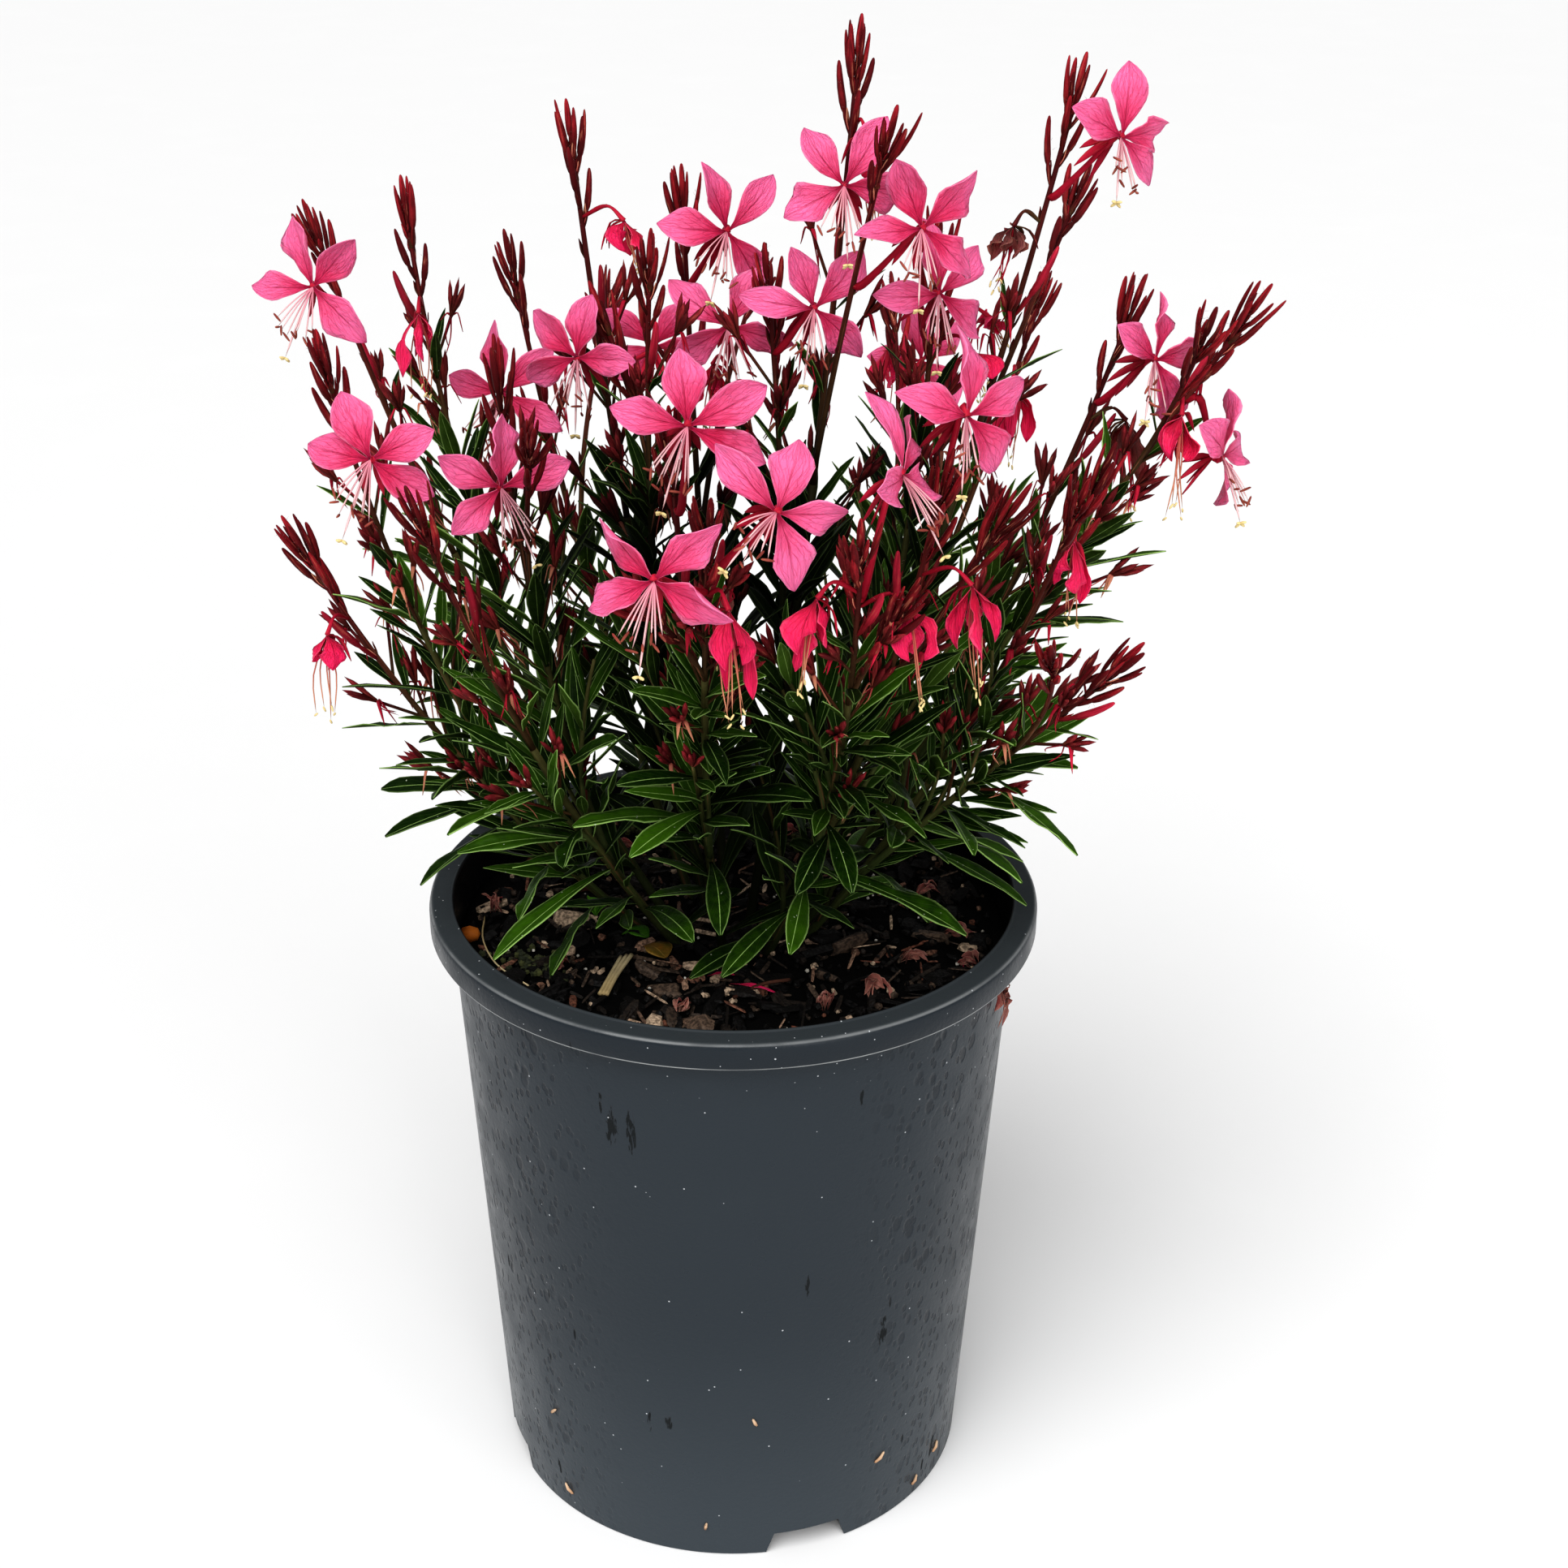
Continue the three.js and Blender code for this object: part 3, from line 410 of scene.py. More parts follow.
# %% Where the open flowers sit
PETAL_LENGTH, PETAL_CUP, PETAL_RECURVE = 20.5, 0.2, 0.32
PETAL_STATIONS, PETAL_HALVES = (0, 0.42, 0.76, 1), (3.23, 4.25, 1.36)
PETAL_TURNS = (-104, -34, 34, 104)
SEPALS = ((-160, -0.9, 11), (160, -0.9, 11))
STAMENS = ((-150, 0.75, 17), (162, 0.75, 17))
STYLE = (180, 0.5, 22)
THREAD_DROP, HEART_DEPTH, KNEE_REACH, KNEE_RISE, TUBE_STEP = 3, 2.5, 3.6, 3, 2
ROOM_STATIONS = (0.2, 0.36, 0.52, 0.68, 0.84, 1)
BLOOM_ROLLS, BLOOM_LIFTS, BLOOM_PUSHES = (0, 14, -14, 28, -28), (0, 5, -5, 10), (0, 3, 6, 9)


class Facing:
    def __init__(self, bearing, rise, roll):
        self.face = bearing_vector(bearing, rise)
        self.across = unit(np.cross(UP, self.face))
        self.crest, self.roll = np.cross(self.face, self.across), roll

    def turn(self, degrees):
        return swing(self.crest, self.across, degrees + self.roll)

    def thread(self, root, degrees, lean, length, s):
        way = unit(self.turn(degrees) + self.face * lean)
        return root + way * (length * s) - UP * (THREAD_DROP * s * s)

    def petal(self, heart, degrees, s):
        lift = PETAL_LENGTH * s * (PETAL_CUP - PETAL_RECURVE * s)
        return heart + self.turn(degrees) * (PETAL_LENGTH * s) + self.face * lift


def petal_room(way, heart, degrees):
    across = np.cross(way.face, way.turn(degrees))
    spine = [way.petal(heart, degrees, s) for s in PETAL_STATIONS]
    return [point + across * d for before, here, half in zip(spine, spine[1:], PETAL_HALVES)
            for point in (here, toward(here, before, 0.5)) for d in (-half, 0, half)]


def place_bloom(number, on, along, middle, bearing, rise, roll):
    owner, (_, path) = f"bloom {number}", find_path(on)
    t = mix(path.start, RED_END, along)
    root, up = path.frame(t)[:2]
    for more_roll, lift, push in product(BLOOM_ROLLS, BLOOM_LIFTS, BLOOM_PUSHES):
        way = Facing(bearing, rise, roll + more_roll)
        heart = vec(*middle) + way.face * push + UP * lift
        to_heart = heart - root
        knee = root + unit(to_heart - up * (to_heart @ up)) * KNEE_REACH + up * KNEE_RISE
        back = heart - way.face * HEART_DEPTH
        wide = [ball for degrees in PETAL_TURNS for ball in petal_room(way, heart, degrees)]
        slim = stretch(knee, back, TUBE_STEP)
        slim += [way.thread(back, *sepal, s) for sepal in SEPALS for s in ROOM_STATIONS]
        slim += [way.thread(heart, *one, s) for one in (*STAMENS, STYLE) for s in ROOM_STATIONS]
        sizes = ((wide, PETAL_ROOM), (slim, THREAD_ROOM), ([back, heart], HEART_ROOM))
        if all(room.clear(balls, size, owner) for balls, size in sizes):
            for balls, size in sizes:
                room.note(balls, size, owner)
            return way, heart, back, path.bend.point(t), knee
    raise RuntimeError(f"bloom {number} finds no room")


blooms = [place_bloom(i, *spec) for i, spec in enumerate(BLOOMS)]
print("blooms", len(blooms))

# %% Where the withered flowers hang
WITHERED_TRIES, WITHERED_TURN, WITHERED_KNEE, WITHERED_LIFT, WITHERED_REACH = 12, 31, 0.6, 4, 4
withered_plan = []
for label, along, bearing, reach, drop in WITHERED:
    name, path = find_path(label)
    t = mix(path.start, RED_END, along)
    point = path.at(t)
    for tries in range(WITHERED_TRIES):
        out = bearing_vector(bearing + tries * WITHERED_TURN)
        knee = point + out * (reach * WITHERED_KNEE) + UP * WITHERED_LIFT
        brow = point + out * reach
        tip = brow + out * WITHERED_REACH - UP * drop
        balls = stretch(knee, brow, ROOM_STEP) + stretch(brow, tip, ROOM_STEP)
        if room.take(balls, WITHERED_ROOM, f"raceme {name}"):
            withered_plan.append((name, path.bend.point(t), knee, brow, tip, out))
            break
print("withered", len(withered_plan))

# %% Where the buds sit
BUD_BUNCH, BUD_SPACING, BUD_RADIUS, BUD_CLEAR_FROM = 5, 5, 1.5, 0.16
BUD_LEAN, BUD_LEAN_MORE, BUD_SHORTEST, BUD_MORE = 15, 3, BUD_LENGTH - 1, 5
BUD_TRIES, BUD_TURN, BUNCH_TURN = 8, 47, 80
LONG_AT, LONG_LEAN, LONG_LENGTH, LONG_MORE, LONG_RADIUS = 0.5, 17, 21, 4, 1.7


def place_bud(name, path, t, turn, lean, length, radius):
    for root, along, out in path.sides(t, turn, BUD_TURN, BUD_TRIES):
        way = swing(along, out, lean)
        balls = stretch(root + way * (BUD_CLEAR_FROM * length), root + way * length, ROOM_STEP)
        if room.take(balls, BUD_ROOM, f"raceme {name}"):
            grown["bud", name].append((path.bend.point(t), along, root + way * length, radius))
            return


bunches = 0
for name, paths in racemes.items():
    for path in paths:
        for i in range(1, BUD_BUNCH):
            t = RED_END - i * BUD_SPACING / path.whole
            lean = BUD_LEAN + BUD_LEAN_MORE * draw()
            length = BUD_SHORTEST + BUD_MORE * draw()
            place_bud(name, path, t, i * GOLDEN_TURN + BUNCH_TURN * bunches, lean, length, BUD_RADIUS)
        if path.start > 0:
            t = mix(path.start, RED_END, LONG_AT)
            length = LONG_LENGTH + LONG_MORE * draw()
            place_bud(name, path, t, BUNCH_TURN * bunches, LONG_LEAN, length, LONG_RADIUS)
        bunches += 1
print("buds", count_grown("bud"), "in", bunches, "bunches")

# %% Where the leaves sit
LEAF_ASPECT, LEAF_TURN, LEAF_TURNS, LEAF_SHRINKS = 0.17, 29, 12, (1, 0.82, 0.66)
LEAFY_HEIGHT, LEAF_PITCHES, LEAF_DROOPS, LEAF_LENGTHS = 140, (68, 32), (0.3, 0.06), (36, 28)
LEAF_SWELL, SWELL_PEAK, LEAF_SMALLEST, LEAF_MORE, PITCH_MORE = 14, 0.7, 0.88, 0.24, 12
LEAF_CROWDING, LEAF_STRAY, MAIN_LEAVES, FORK_LEAVES, LEAF_STEP = 0.68, 0.5, 11, 7, 4
INNER_LOWEST, OUTER_LOWEST, FORK_LOWEST, HIGHEST_LEAF = 0.26, 0.1, 0.14, RED_START - 0.02
CLAW_ROOM, BLADE_ROOM, LEAF_BALLS = (0.6, 0.1, 0.3), (1, 0.32, 1), (-0.3, 0, 0.3)


def grow_leaf(owner, path, t, turn, pitch, droop, full_length, size=LEAF_ROOM):
    sides = list(path.sides(t, turn, LEAF_TURN, LEAF_TURNS))
    for shrink, (root, along, out) in product(LEAF_SHRINKS, sides):
        length = full_length * shrink
        width = length * LEAF_ASPECT
        way = swing(along, out, pitch)
        across = unit(np.cross(along, out))

        def leaf_room(share, start, stop):
            count = math.ceil(length * (stop - start) / LEAF_STEP)
            stations = [mix(start, stop, i / count) for i in range(count + 1)]
            mids = [root + way * (length * s) - UP * (droop * length * s * s) for s in stations]
            return [mid + across * (part * (width * share)) for mid in mids for part in LEAF_BALLS]

        near, far = leaf_room(*CLAW_ROOM), leaf_room(*BLADE_ROOM)
        if room.clear(near, size, owner) and room.clear(far, size, owner, True):
            room.note(near + far, size, owner)
            grown["leaf", owner].append((path.bend.point(t), root, way, across, length, width, droop))
            return


for order, (letter, inner, greens) in enumerate(stems):
    for i, green in enumerate(greens):
        count = FORK_LEAVES if i else MAIN_LEAVES
        lowest = FORK_LOWEST if i else INNER_LOWEST if inner else OUTER_LOWEST
        for n in range(count):
            t = mix(lowest, HIGHEST_LEAF, ((n + LEAF_STRAY * draw()) / count) ** LEAF_CROWDING)
            height = min(max((green.at(t)[2] - SOIL_LEVEL) / LEAFY_HEIGHT, 0), 1)
            pitch = mix(*LEAF_PITCHES, height) + PITCH_MORE * (draw() - 0.5)
            droop = mix(*LEAF_DROOPS, height)
            swell = LEAF_SWELL * math.sin(math.pi * height ** SWELL_PEAK)
            length = (mix(*LEAF_LENGTHS, height) + swell) * (LEAF_SMALLEST + LEAF_MORE * draw())
            grow_leaf(f"stem {letter}", green, t, n * GOLDEN_TURN + order * 50, pitch, droop, length)
print("leaves", count_grown("leaf"))

# %% [markdown]
# ## Small leaves that fill the plant
# A nursery gaura is fuller than its main leaves alone: short tufts of young leaves sit in the
# angle of each big one, and narrow leaves go on a little way up the red part. They take what
# room is left, by the same rule as the others.

# %% Side shoots
SIDE_SHOOTS, SIDE_TRIES, SIDE_TURN, SIDE_ROOM, SIDE_CLEAR_FROM, SIDE_BALLS = 3, 12, 30, 1.0, 0.12, 24
SIDE_SPAN, SIDE_SHORTEST, SIDE_MORE, SIDE_REACH, SIDE_TOP = (0.12, 0.5), 45, 45, 88, 335
SIDE_AHEAD, SIDE_OUT, SIDE_UP, SIDE_STEPS, SIDE_THICK, SIDE_THIN = 0.8, 0.42, 0.3, 4, 1.0, 0.5
greens_in_order = [(order, f"stem {letter}", green) for order, (letter, _, greens) in enumerate(stems)
                   for green in greens]
side_shoots = []
for order, owner, green in greens_in_order:
    for n in range(SIDE_SHOOTS):
        t = mix(*SIDE_SPAN, (n + draw()) / SIDE_SHOOTS)
        length = SIDE_SHORTEST + SIDE_MORE * draw()
        for root, along, out in green.sides(t, n * GOLDEN_TURN + order * 40, SIDE_TURN, SIDE_TRIES):
            tip = root + (along * SIDE_AHEAD + out * SIDE_OUT + UP * SIDE_UP) * length
            if math.hypot(tip[0], tip[1]) > SIDE_REACH or tip[2] > SIDE_TOP:
                continue
            shoot = Path(fork_bend(green, t, tip), 0, 1, SIDE_STEPS, SIDE_THICK, SIDE_THIN)
            stations = [mix(SIDE_CLEAR_FROM, 1, i / SIDE_BALLS) for i in range(SIDE_BALLS + 1)]
            if room.take([shoot.at(s) for s in stations], SIDE_ROOM, owner):
                side_shoots.append((owner, shoot))
                break
print("side shoots", len(side_shoots))

# %% Young leaves
TUFT_LEAVES, UPPER_LEAVES, SIDE_LEAVES, YOUNG_ROOM, UPPER_ROOM = 20, 3, 9, 1.3, 0.9
SIDE_LEAF_SPAN, TUFT_SPAN, UPPER_SPAN = (0.14, 0.97), (0.2, RED_START), (RED_START + 0.02, RED_START + 0.17)
for order, (owner, shoot) in enumerate(side_shoots):
    for n in range(SIDE_LEAVES):
        t = mix(*SIDE_LEAF_SPAN, (n + 0.6 * draw()) / SIDE_LEAVES)
        length = (27 + 15 * draw()) * (1.1 - 0.4 * t)
        turn, pitch = n * GOLDEN_TURN + order * 50, 20 + 16 * draw()
        grow_leaf(owner, shoot, t, turn, pitch, 0.1 * draw(), length, YOUNG_ROOM)
for order, owner, green in greens_in_order:
    for n in range(TUFT_LEAVES):
        t = mix(*TUFT_SPAN, ((n + draw()) / TUFT_LEAVES) ** 0.8)
        pitch, droop = 42 - 24 * t + 18 * draw(), 0.12 * draw()
        turn = n * GOLDEN_TURN + order * 70 + 40
        grow_leaf(owner, green, t, turn, pitch, droop, 18 + 20 * draw(), YOUNG_ROOM)
for order, (name, paths) in enumerate(racemes.items()):
    for n in range(UPPER_LEAVES):
        t = mix(*UPPER_SPAN, (n + draw()) / UPPER_LEAVES)
        turn = n * GOLDEN_TURN + order * 60
        grow_leaf(f"raceme {name}", paths[0], t, turn, 34 + 14 * draw(), 0.05, 29 - 4 * n, UPPER_ROOM)
print("leaves with the young ones", count_grown("leaf"))

# %% [markdown]
# A side shoot ends in a small dusky tuft of its own. Short bare twigs with such tufts stand out
# from the upper part of each green shoot and from the lower, already flowered part of each
# raceme. They give the middle of the plant its red.

# %% Small tufts
TUFT_BUDS, TUFT_ROOM, TWIGS, GREEN_TWIGS, TWIG_TRIES, TWIG_TURN = 5, 0.85, 4, 4, 8, 43
TWIG_SPAN, GREEN_TWIG_SPAN = (RED_START + 0.01, RED_START + 0.2), (0.36, RED_START)


def grow_tuft(owner, point, along):
    side = unit(np.cross(along, SIDEWAYS))
    other, start = np.cross(along, side), 360 * draw()
    for i in range(TUFT_BUDS):
        lean, length = 5 + 20 * draw(), 8 + 6 * draw()
        way = swing(along, swing(side, other, start + i * GOLDEN_TURN), lean)
        if room.take(stretch(point + way * 3, point + way * length, ROOM_STEP), TUFT_ROOM, owner):
            radius = 0.75 + 0.4 * draw()
            grown["tuft bud", owner].append((point - along * 0.8, point + way * length, radius))


def grow_twig(owner, path, t, turn, length):
    for root, along, out in path.sides(t, turn, TWIG_TURN, TWIG_TRIES):
        tip = root + unit(along * 0.85 + out * 0.5) * length
        if room.take(stretch(toward(root, tip, 0.25), tip, ROOM_STEP), TUFT_ROOM, owner):
            grown["twig", owner].append((path.bend.point(t), tip, unit(tip - root)))
            grow_tuft(owner, tip, unit(tip - root + along * 4))
            return


for owner, shoot in side_shoots:
    grow_tuft(owner, shoot.at(1), shoot.bend.heading(1))
for order, (name, paths) in enumerate(racemes.items()):
    for n in range(TWIGS):
        t = mix(*TWIG_SPAN, (n + draw()) / TWIGS)
        grow_twig(f"raceme {name}", paths[0], t, n * GOLDEN_TURN + order * 50, 9 + 12 * draw())
for order, owner, green in greens_in_order:
    for n in range(GREEN_TWIGS):
        t = mix(*GREEN_TWIG_SPAN, (n + draw()) / GREEN_TWIGS)
        grow_twig(owner, green, t, n * GOLDEN_TURN + order * 35, 14 + 16 * draw())
print("twigs", count_grown("twig"), "tuft buds", count_grown("tuft bud"))

# %% [markdown]
# ## Masters
# A master is one piece modelled upright on the origin, with its length along Z from 0 to 1 and
# its half width as 1. A thing with an axis, such as a bud or a stem, is spun from a few points
# beside that axis. A leaf or a petal is a grid that gets a thickness and is then drawn in to its
# outline. Small repeated things stay at a few dozen faces, because there are hundreds of them.

# %% Turned masters
def new_bmesh():
    bm = bmesh.new()
    bm.loops.layers.uv.new("UVMap")
    bm.verts.layers.float.new("tint")
    return bm


def spin_profile(profile, steps):
    bm = new_bmesh()
    corners = [bm.verts.new((radius, 0, height)) for height, radius in profile]
    edges = [bm.edges.new(pair) for pair in zip(corners, corners[1:])]
    bmesh.ops.spin(bm, geom=corners + edges, axis=(0, 0, 1), cent=(0, 0, 0), steps=steps,
                   angle=2 * math.pi, use_merge=True)
    bmesh.ops.remove_doubles(bm, verts=bm.verts[:], dist=1e-5)
    bmesh.ops.recalc_face_normals(bm, faces=bm.faces[:])
    return bm


def unwrap_round(bm):
    uv = bm.loops.layers.uv["UVMap"]
    for face in bm.faces:
        middle = face.calc_center_median()
        turn = math.atan2(middle.y, middle.x) / (2 * math.pi)
        for loop in face.loops:
            own = math.atan2(loop.vert.co.y, loop.vert.co.x) / (2 * math.pi)
            loop[uv].uv = (turn + (own - turn + 0.5) % 1 - 0.5, loop.vert.co.z)


# %% Sheet masters
def flat_sheet(columns, rows, outline, thickness, fold):
    bm = new_bmesh()
    bmesh.ops.create_grid(bm, x_segments=columns, y_segments=rows, size=1)
    bmesh.ops.rotate(bm, verts=bm.verts[:], cent=(0, 0, 0), matrix=Matrix.Rotation(math.pi / 2, 3, "X"))
    bmesh.ops.translate(bm, verts=bm.verts[:], vec=(0, 0, 1))
    bmesh.ops.scale(bm, verts=bm.verts[:], vec=(1, 1, 0.5))
    uv = bm.loops.layers.uv["UVMap"]
    for face in bm.faces:
        for loop in face.loops:
            loop[uv].uv = ((loop.vert.co.x + 1) / 2, loop.vert.co.z)
    bmesh.ops.solidify(bm, geom=bm.faces[:], thickness=thickness)
    stations, widths = zip(*outline)
    for vert in bm.verts:
        half = float(np.interp(vert.co.z, stations, widths))
        across = vert.co.x
        vert.co.x *= half
        vert.co.y += fold(across, vert.co.z) * half
    bmesh.ops.recalc_face_normals(bm, faces=bm.faces[:])
    return bm


# %% A master that can be laid along a line
class Master:
    def __init__(self, name, bm, smooth=True):
        for face in bm.faces:
            face.smooth = smooth
        self.mesh = bpy.data.meshes.new(name)
        bm.to_mesh(self.mesh)
        self.under = np.array([face.normal.y < -0.2 for face in bm.faces])
        bm.free()
        flat = np.zeros(len(self.mesh.vertices) * 3)
        self.mesh.vertices.foreach_get("co", flat)
        self.rest = flat.reshape(-1, 3)
        print("master", name, len(self.mesh.polygons), "faces")

    def add(self, bm, places, tint, paint, under=None):
        self.mesh.vertices.foreach_set("co", places.ravel())
        self.mesh.attributes["tint"].data.foreach_set("value", np.full(len(places), tint))
        paints = np.where(self.under, paint if under is None else under, paint)
        self.mesh.polygons.foreach_set("material_index", paints.astype(np.int32))
        bm.from_mesh(self.mesh)


def lay(bm, master, spine, across, wide, tint=0.5, paint=0, under=None, twist=0.0, ripple=(0, 0, 0)):
    """Bend a copy of a master along a line. Its X follows across, and its Y is the upper face."""
    spine = np.asarray(spine)
    along = np.gradient(spine, axis=0)
    along /= np.linalg.norm(along, axis=1)[:, None]
    side = across - along * (along @ across)[:, None]
    side /= np.linalg.norm(side, axis=1)[:, None]
    face = np.cross(along, side)
    x, y, s = master.rest.T
    place = s * (len(spine) - 1)
    low = np.clip(place.astype(int), 0, len(spine) - 2)
    share = (place - low)[:, None]
    at, right, front = (rows[low] * (1 - share) + rows[low + 1] * share for rows in (spine, side, face))
    size = np.interp(place, np.arange(len(spine)), wide) if np.ndim(wide) else wide
    y = y + ripple[0] * x * x * np.sin(ripple[1] * s + ripple[2] + 2 * x)
    turn = twist * s
    x, y = x * np.cos(turn) - y * np.sin(turn), x * np.sin(turn) + y * np.cos(turn)
    master.add(bm, at + right * (x * size)[:, None] + front * (y * size)[:, None], tint, paint, under)


# %% Stems, buds and threads
def round_master(name, profile, steps):
    bm = spin_profile(profile, steps)
    unwrap_round(bm)
    return Master(name, bm)


ROD_RINGS = 14
ROD_STATIONS = np.linspace(0, 1, ROD_RINGS + 1)
rod = round_master("rod", [(0, 0)] + [(i / ROD_RINGS, 1) for i in range(ROD_RINGS + 1)] + [(1, 0)], 8)
thread = round_master("thread", [(0, 0)] + [(i / 6, 1) for i in range(6)] + [(1, 0)], 4)
bud = round_master("bud", [(0, 0), (0.02, 0.42), (0.12, 0.6), (0.25, 0.66), (0.32, 0.54), (0.37, 0.82),
                           (0.46, 1), (0.64, 0.97), (0.8, 0.82), (0.92, 0.62), (0.98, 0.36), (1, 0)], 6)
tuft_bud = round_master("tuft_bud", [(0, 0), (0.1, 0.5), (0.34, 0.62), (0.5, 1), (0.78, 0.82), (1, 0)], 5)
grain = round_master("grain", [(0, 0), (0.12, 0.75), (0.5, 1), (0.88, 0.7), (1, 0)], 5)
hair = round_master("hair", [(0, 0), (0, 1), (1, 0)], 3)

# %% Leaves and petals
BLUNT_LEAF = [(0, 0.14), (0.1, 0.19), (0.2, 0.32), (0.32, 0.55), (0.45, 0.8), (0.57, 0.96), (0.67, 1.0),
              (0.77, 0.95), (0.86, 0.78), (0.93, 0.54), (1, 0.12)]
SHARP_LEAF = [(0, 0.14), (0.1, 0.32), (0.26, 0.78), (0.45, 1.0), (0.62, 0.96), (0.8, 0.66),
              (0.92, 0.32), (1, 0.04)]
PETAL = [(0, 0.08), (0.09, 0.11), (0.17, 0.24), (0.26, 0.46), (0.38, 0.73), (0.5, 0.94), (0.59, 1.0),
         (0.69, 0.94), (0.79, 0.77), (0.88, 0.52), (0.95, 0.27), (1, 0.03)]


def leaf_fold(x, s):
    return 0.3 * abs(x) ** 0.7 - 0.05 + 0.1 * math.sin(9 * s) * x * x


def petal_fold(x, s):
    return 0.24 * x * x + (0.03 + 0.06 * x * x) * math.sin(9 * x + 7 * s) - 0.07 * math.exp(-40 * x * x)


def crease_fold(x, s):
    return 0.85 * abs(x) + 0.18 * math.sin(11 * s + 3 * x)


blunt_leaf = Master("blunt_leaf", flat_sheet(4, 12, BLUNT_LEAF, 0.1, leaf_fold))
sharp_leaf = Master("sharp_leaf", flat_sheet(4, 9, SHARP_LEAF, 0.1, leaf_fold))
tuft_leaf = Master("tuft_leaf", flat_sheet(2, 5, SHARP_LEAF, 0.12, leaf_fold))
petal = Master("petal", flat_sheet(8, 12, PETAL, 0.05, petal_fold))
creased_petal = Master("creased_petal", flat_sheet(6, 10, PETAL, 0.06, crease_fold))
sepal = Master("sepal", flat_sheet(2, 6, SHARP_LEAF, 0.3, leaf_fold))

# %% [markdown]
# ## Paints
# The colours of a plant change along each piece: a leaf has a pale rib and a pale rim, a petal has
# fine darker veins, and a stem goes from brown-green to dark red. The leaf's pale rim is partly a
# painted highlight on its edge. The laid pieces carry their own UV map, which says how far across
# and how far along a point is, and a tint that differs from one leaf to the next, so the nodes can
# draw all of this without any picture.

# %% Short words for nodes
class Wire:
    """What comes out of a node. A sum or product of wires makes a node that works it out."""
    def __init__(self, socket):
        self.socket = socket

    def maths(self, operation, other=0.0):
        return put("Math", {0: self, 1: other}, operation=operation)

    def rise(self, start, stop, low=0.0, high=1.0):
        """A soft step that goes from low to high as the value goes from start to stop."""
        inputs = {"Value": self, "From Min": start, "From Max": stop, "To Min": low, "To Max": high}
        return put("MapRange", inputs, interpolation_type="SMOOTHSTEP")

    def max(self, other):
        return self.maths("MAXIMUM", other)

    def __add__(self, other):
        return self.maths("ADD", other)

    def __sub__(self, other):
        return self.maths("SUBTRACT", other)

    def __mul__(self, other):
        return self.maths("MULTIPLY", other)

    def __abs__(self):
        return self.maths("ABSOLUTE")


def feed(socket, value):
    if isinstance(value, Wire):
        socket.id_data.links.new(value.socket, socket)
    else:
        socket.default_value = (*value, 1) if socket.type == "RGBA" else value


def put(kind, inputs, out=0, tree=None, **settings):
    """A new node in the tree of its wires. One output comes back, or all of them if out is None."""
    if tree is None:
        tree = next(value.socket.id_data for value in inputs.values() if isinstance(value, Wire))
    node = tree.nodes.new("ShaderNode" + kind)
    for key, value in settings.items():
        setattr(node, key, value)
    for socket, value in inputs.items():
        feed(node.inputs[socket], value)
    return [Wire(socket) for socket in node.outputs] if out is None else Wire(node.outputs[out])


def blend(share, a, b, kind="MIX"):
    return put("Mix", {0: share, 6: a, 7: b}, 2, data_type="RGBA", blend_type=kind)


def split(place):
    return put("SeparateXYZ", {0: place}, None)


def combine(x, y, z=0.0):
    return put("CombineXYZ", {0: x, 1: y, 2: z})


def clouds(place, scale, detail=3.0):
    """Soft cloudy values between 0 and 1."""
    return put("TexNoise", {"Vector": place, "Scale": scale, "Detail": detail})


def noise(place, size, detail=3.0):
    """Clouds whose size is in millimetres."""
    return clouds(place, 1 / (size * MM), detail)


def spots(place, size, reach):
    """Round specks about one size apart, as wide as reach, which is a share of the size."""
    return put("TexVoronoi", {"Vector": place, "Scale": 1 / (size * MM)}).rise(reach, reach * 0.6)


def bump(height, depth):
    """Normals for a height between 0 and 1, as deep as that many millimetres."""
    return put("Bump", {"Height": height, "Distance": depth * MM, "Strength": 1.0})


# %% A new material, and what most of them read
palette = {}


class Paint:
    def __init__(self, name, **sockets):
        self.name, material = name, bpy.data.materials.new(name)
        material.use_nodes = True
        tree = material.node_tree
        self.material, self.skin = material, tree.nodes["Principled BSDF"].inputs
        for socket, value in sockets.items():
            feed(self.skin[socket.replace("_", " ")], value)
        self.place = put("TexCoord", {}, "Object", tree)
        self.tint = put("Attribute", {}, "Fac", tree, attribute_name="tint")
        self.across, self.along, _ = split(put("UVMap", {}, "UV", tree, uv_map="UVMap"))

    def wear(self, colour, roughness=None, normal=None):
        for socket, value in (("Base Color", colour), ("Roughness", roughness), ("Normal", normal)):
            if value is not None:
                feed(self.skin[socket], value)
        palette[self.name] = self.material


# %% [markdown]
# Three effects are shared by many materials, so each is a node group. The first mottles a colour:
# it mixes a deep and a pale one by a cloudy pattern and by the piece's own tint. The second draws
# the ribs of a leaf or petal from how far across and along its surface a point is. The third says
# how near a point is to the outside of the plant, where the light reaches, and is used to paint
# shade on the growth inside.

# %% Shared effects
SOCKET_KINDS = {"Place": "NodeSocketVector", "Deep": "NodeSocketColor", "Pale": "NodeSocketColor",
                "Color": "NodeSocketColor"}


def new_group(name, inputs, outputs):
    group = bpy.data.node_groups.new(name, "ShaderNodeTree")
    for titles, way in ((inputs, "INPUT"), (outputs, "OUTPUT")):
        for title in titles:
            kind = SOCKET_KINDS.get(title, "NodeSocketFloat")
            group.interface.new_socket(name=title, in_out=way, socket_type=kind)
    given = group.nodes.new("NodeGroupInput").outputs
    return group, [Wire(given[title]) for title in inputs], group.nodes.new("NodeGroupOutput").inputs


mottle_group, (place, scale, tint, deep, pale), result = new_group(
    "mottle", ("Place", "Scale", "Tint", "Deep", "Pale"), ("Color",))
feed(result["Color"], blend(((clouds(place, scale) + tint) * 0.5).rise(0.2, 0.8), deep, pale))

